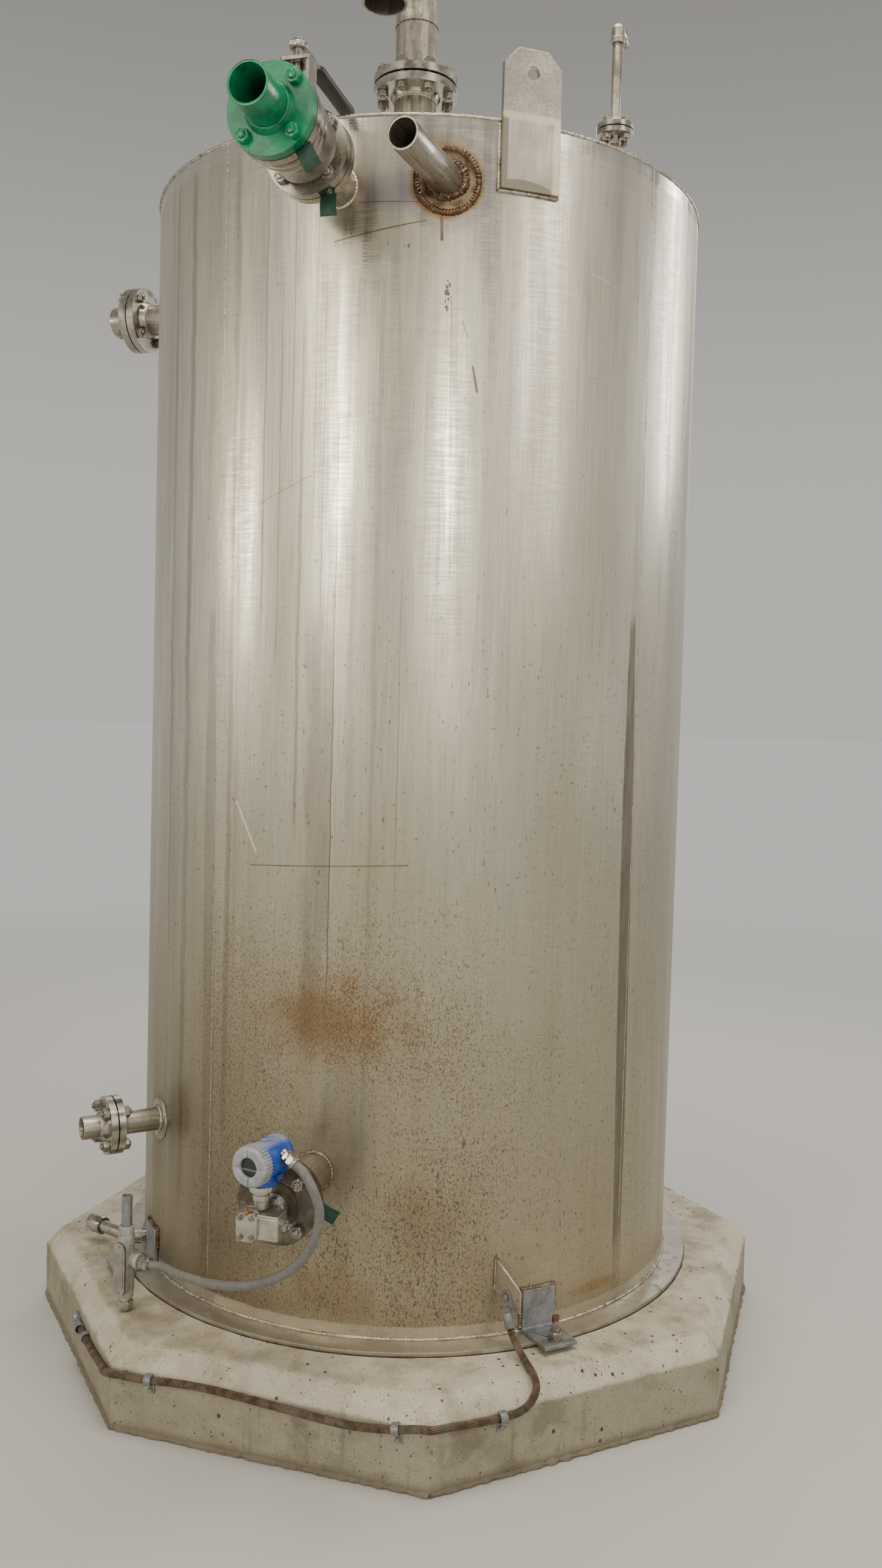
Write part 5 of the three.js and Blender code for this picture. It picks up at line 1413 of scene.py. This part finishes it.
vent_place = standing("vent", (-0.05, -0.19), SIZE_4, 3.436, "vent_gooseneck", 0.0009, 0.02)
BEND_R, BEND_FOOT = 0.152, 3.595
heading = Vector((sin(radians(-15)), -cos(radians(-15)), 0))
across = heading * BEND_R * 2
bend = [Vector((0, 0, 3.4752 + (BEND_FOOT - 3.4752) * i / 6)) for i in range(6)]
for a in (pi * i / 48 for i in range(49)):
    bend.append(heading * BEND_R * (1 - cos(a)) + Vector((0, 0, BEND_FOOT + BEND_R * sin(a))))
bend += [across + Vector((0, 0, BEND_FOOT - 0.09 * i / 5)) for i in range(1, 6)]
piece("vent_bend", piped(bend, 0.05715, 0.05115), pipe_steel, "stainless", vent_place)
joint = ring_of(0.0574, BEND_FOOT)
weld("vent_welds", bead(ring_of(0.0578, 3.4805), 0.0032, 0.0045), bead(joint, 0.0018, 0.004),
     bead([Vector(p) + across for p in joint], 0.0018, 0.004), metal=burnt_weld, matrix=vent_place)
weld("vent_foot_weld", bead(on_roof(-0.05, -0.19, 0.0585, 64), 0.0046, 0.005))


# Small riser
# A 3/4 inch stainless branch for a gauge or a breather. Its riser is bolted on and ends
# in a socket elbow with a short open stub.
small_place = standing("small", (0.485, -0.3), SIZE_S, 3.292, "small_riser", 0.0007, 0.014, 0.005)
weld("small_weld", bead(ring_of(0.0142, 3.3212), 0.0026, 0.0035), matrix=small_place)
stub_place = on_wall(0, 0, 0, 157)
stub_place.translation = (0, 0, 3.555)
socket = turned([(0, 0), (0.0178, 0), (0.0178, 0.019), (0.019, 0.021), (0.019, 0.034), (0.0137, 0.034),
                 (0.0137, 0.02), (0, 0.02)], 48, 0.001)
elbow = joined(
    tube(0.01045, 0.01335, 3.3, 3.53, 48),
    (*socket, at(0, 0, 3.555) @ tilt(180, "X")), (*globe(0.0182), at(0, 0, 3.555)),
    (*socket, stub_place), (*tube(0.01045, 0.01335, 0.02, 0.078, 48), stub_place),
)
piece("small_pipe", elbow, pipe_steel, "stainless", small_place)
weld("small_foot_weld", bead(on_roof(0.485, -0.3, 0.0145, 40), 0.0032, 0.004))


# Anchor clips
# Bent steel angles welded to the wall and bolted down to studs set in the plinth, just
# outside the base ring. The studs have rusted at their sawn tops.
rusty_stud, place = new_finish("rusty_stud")
clouds = grain(place, 90, 5)
tone = mixed(clouds.between(0.4, 0.62), (0.3, 0.29, 0.27), (0.19, 0.165, 0.14))
tone = mixed((axes(place)[1] + clouds * 0.02).between(0.058, 0.07), tone, (0.15, 0.075, 0.04))
finished(rusty_stud, tone, 0.5, 0.6, clouds, 0.0004)
TO_WALL = Matrix(((0, 0, -1, 0), (0, 1, 0, 0), (1, 0, 0, 0), (0, 0, 0, 1)))
FROM_WALL = Matrix(((0, 0, 1, 0), (0, 1, 0, 0), (-1, 0, 0, 0), (0, 0, 0, 1)))
stud_place = at(0, 0, 0.086) @ STAND
angle_end = [(SEAT, 0.0), (0.015, 0.0), (0.015, 0.009), (0.0112, 0.0104), (0.0093, 0.0142), (0.0093, 0.104),
             (SEAT, 0.104)]
angle_foot = [(-0.046, -0.116), (0.046, -0.116), (0.046, -0.0145), (-0.046, -0.0145)]
clip_edge = [(-0.047, 0.01), (-0.047, 0.1045), (0.047, 0.1045), (0.047, 0.045)]
for number, degrees in enumerate((26, 116, 206, 296)):
    stand, name = on_wall(degrees, WALL_FOOT), number + 1
    clip = joined((*pressed(angle_end, -0.046, 0.046), TO_WALL),
                  (*pressed(angle_foot, 0.0, 0.009, [round_hole(0, -0.086, 0.01)]), STAND))
    piece(f"clip_angle_{name}", clip, zinc, "galvanised", stand, f"anchor_clip_{name}", ease=0.0012)
    nut_place = stud_place @ at(0, 0, 0.0122) @ Matrix.Rotation(0.35 + number, 4, "Z")
    nut = joined((*tube(0.0101, 0.0185, 0.0092, 0.0122, 48, 0.0005), stud_place),
                 (*hexnut(0.0315, 0.0185, 0.0096), nut_place))
    piece(f"clip_nut_{name}", nut, bolt_steel, "galvanised", stand)
    stud = joined((*thread(0.0095, -0.0115, 0.068, 0.00254, 0.0014), stud_place))
    piece(f"clip_stud_{name}", stud, rusty_stud, "galvanised", stand)
    weld(f"clip_weld_{name}", bead(on_curve(clip_edge, 14), 0.0056, 0.0065, False, 8, 4, 0.22),
         metal=burnt_weld if number else dull_weld, matrix=stand)


# Earthing tab and lugs
# A thin tab welded to the wall beside the front anchor clip, the tinned lug that is
# bolted to it, four screwed straps, and the lug at the cable's far end.
tab = pressed([(-0.004, 0.411), (-0.004, 0.33), (0.076, 0.2945), (0.08, 0.297), (0.08, 0.347),
               (0.076, 0.353)], -0.003, 0.003)
piece("earthing_tab", joined((*tab, TO_WALL)), plate_steel, "stainless", tab_place, "earth_tab", ease=0.0008)
sides = [[(x, 0.334 + 0.076 * i / 24, z) for i in range(25)]
         for x, z in ((-0.0042, 0.0005), (0.0042, 0.0045))]
tip = [(-0.003 + 0.008 * i / 6, 0.412, 0.001) for i in range(7)]
weld("tab_weld", *(bead(side, 0.0026, 0.004, False) for side in sides), bead(tip, 0.005, 0.004, False),
     matrix=tab_place)
palm = [(-0.013, -0.03), (0.013, -0.03), (0.013, 0.006), (0.009, 0.013), (0.003, 0.015), (-0.003, 0.015),
        (-0.009, 0.013), (-0.013, 0.006)]
barrel_place = at(-0.013, 0, 0) @ STAND
lug = joined(
    (*pressed(palm, -0.005, 0.0), FROM_WALL),
    block(-0.018, 0.0, -0.042, -0.024, -0.009, 0.009),
    (*tube(0.0098, 0.012, -0.07, -0.034, 40, 0.0006), barrel_place),
    (*turned([(0, -0.046), (0.0115, -0.046), (0.0115, -0.034), (0, -0.032)], 32), barrel_place),
)
piece("cable_lug", lug, zinc, "galvanised", lug_place, "earth_lug", ease=0.001)
bolt = joined((*hexnut(0.019, 0.008), at(-0.005, 0, 0) @ tilt(-90, "Y")),
              (*hexnut(0.019, 0.009, 0.006), at(0.0065, 0, 0) @ ALONG_X),
              (*thread(0.006, 0.014, 0.021, 0.00175, 0.001), ALONG_X))
piece("lug_bolt", bolt, bolt_steel, "galvanised", lug_place)
strap_line = [(SEAT, 0.0104), (SEAT, 0.0126)]
for r, start, step in ((0.0126, 90, -7.5), (0.0104, -90, 7.5)):
    strap_line += [polar(r, radians(start + step * i), 0.0093) for i in range(25)]
    strap_line += [(SEAT, -0.0126), (SEAT, -0.0104)] if step < 0 else []
ear = [(-0.009, -0.0352), (-0.005, -0.0358), (0.005, -0.0358), (0.009, -0.0352), (0.009, -0.0108),
       (-0.009, -0.0108)]
screw_place = at(0.0025, -0.025, 0) @ ALONG_X
clip_spots = [(0, -0.225, 0.147, 0), (-1, 0.324, 0.146, 9.5), (-1, -0.294, 0.144, 3), (-2, 0.165, 0.121, 0)]
for number, (*spot, lean) in enumerate(clip_spots, 1):
    spot = on_side(*spot) @ tilt(lean, "X")
    strap = joined(pressed(strap_line, -0.009, 0.009), (*pressed(ear, SEAT, 0.0025), FROM_WALL))
    piece(f"strap_{number}", strap, zinc, "galvanised", spot, f"cable_clip_{number}", ease=0.0006)
    screw = joined((*hexnut(0.0095, 0.0045), screw_place),
                   (*tube(0.003, 0.0068, 0.0, 0.0012, 32, 0.0003), screw_place))
    piece(f"strap_screw_{number}", screw, bolt_steel, "galvanised", spot)
end_spot = on_side(-2, 0.1, 0.121)
barrel_place = at(0.0129, 0, 0)
lug = joined(
    block(SEAT, 0.005, -0.012, 0.012, 0.026, 0.068),
    block(SEAT, 0.018, -0.009, 0.009, 0.02, 0.034),
    (*tube(0.0098, 0.0125, -0.014, 0.024, 40, 0.0006), barrel_place),
    (*turned([(0, 0.008), (0.012, 0.008), (0.012, 0.0245), (0, 0.026)], 32), barrel_place),
)
piece("end_lug", lug, zinc, "galvanised", end_spot, "earth_end_lug", ease=0.001)
bolt = joined((*tube(0.006, 0.0115, 0.005, 0.0068, 40, 0.0004), at(0, 0, 0.052) @ ALONG_X),
              (*hexnut(0.019, 0.008), at(0.0068, 0, 0.052) @ ALONG_X))
piece("end_bolt", bolt, bolt_steel, "galvanised", end_spot)


# Floor, light and surroundings
# A pale workshop floor without an edge: far off it takes on the brightness of the
# horizon. Large soft lamps light the tank, and narrow ones far off stand on the wall.
def horizon(ahead):
    return mixed(ahead.between(-0.7, 0.75), (0.84, 0.8, 0.72), (0.57, 0.555, 0.525))


floor_finish, place = new_finish("pale_floor")
reach = measured("LENGTH", place, output="Value")
far = reach.between(2.2, 9.0)
finished(floor_finish, mixed(far, (0.47, 0.46, 0.435), (0.0, 0.0, 0.0)), 0.85,
         more={"Emission Color": horizon(axes(place)[1] / reach), "Emission Strength": far})
bpy.ops.mesh.primitive_plane_add(size=400, location=(0, 0, -0.0005))
floor = bpy.context.object
floor.name = "floor"
floor.data.materials.append(floor_finish)


def softbox(name, where, size, power, tint):
    data = bpy.data.lights.new(name, "AREA")
    data.shape = "RECTANGLE"
    data.size, data.size_y = size
    data.energy = power
    data.color = tint
    lamp = bpy.data.objects.new(name, data)
    bpy.context.scene.collection.objects.link(lamp)
    lamp.location = where
    lamp.rotation_euler = (Vector((0, 0, 1.6)) - Vector(where)).to_track_quat("-Z", "Y").to_euler()
    lamp.visible_camera = False


softbox("front_left", (-3.8, -5.2, 4.4), (2.4, 3.0), 60, (1.0, 0.93, 0.82))
softbox("front_right", (4.2, -4.4, 4.6), (2.0, 3.0), 60, (1.0, 0.93, 0.83))
softbox("above", (0.3, -0.9, 7.5), (5.0, 5.0), 520, (1.0, 0.935, 0.83))
softbox("behind", (0.5, 6.0, 4.6), (5.0, 3.0), 170, (0.95, 0.96, 1.0))
# narrow strips of light far off, whose reflections stand upright on the wall
FAR_OFF = 6.5
for label, azimuth, height, size, power, tint in [
    ("strip_left", -32.8, 3.4, (0.24, 0.8), 52, (1.0, 0.94, 0.8)),
    ("strip_middle", 8.6, 3.36, (0.32, 0.9), 60, (1.0, 0.95, 0.82)),
    ("strip_far_left", -73.5, 3.05, (0.2, 0.8), 46, (1.0, 0.92, 0.76)),
    ("strip_right", 114, 4.5, (1.1, 2.2), 100, (1.0, 0.98, 0.97)),
]:
    a = radians(azimuth)
    softbox(label, (FAR_OFF * sin(a), -FAR_OFF * cos(a), height), size, power, tint)

world = bpy.data.worlds.new("surroundings")
bpy.context.scene.world = world
world.use_nodes = True
sky = Value(node(world.node_tree, "TexCoord").outputs["Generated"])
_, ahead, up = axes(sky)
tone = mixed(up.between(0.12, 0.56), horizon(ahead), (0.27, 0.26, 0.24))
filled(world.node_tree.nodes["Background"], {"Color": tone})
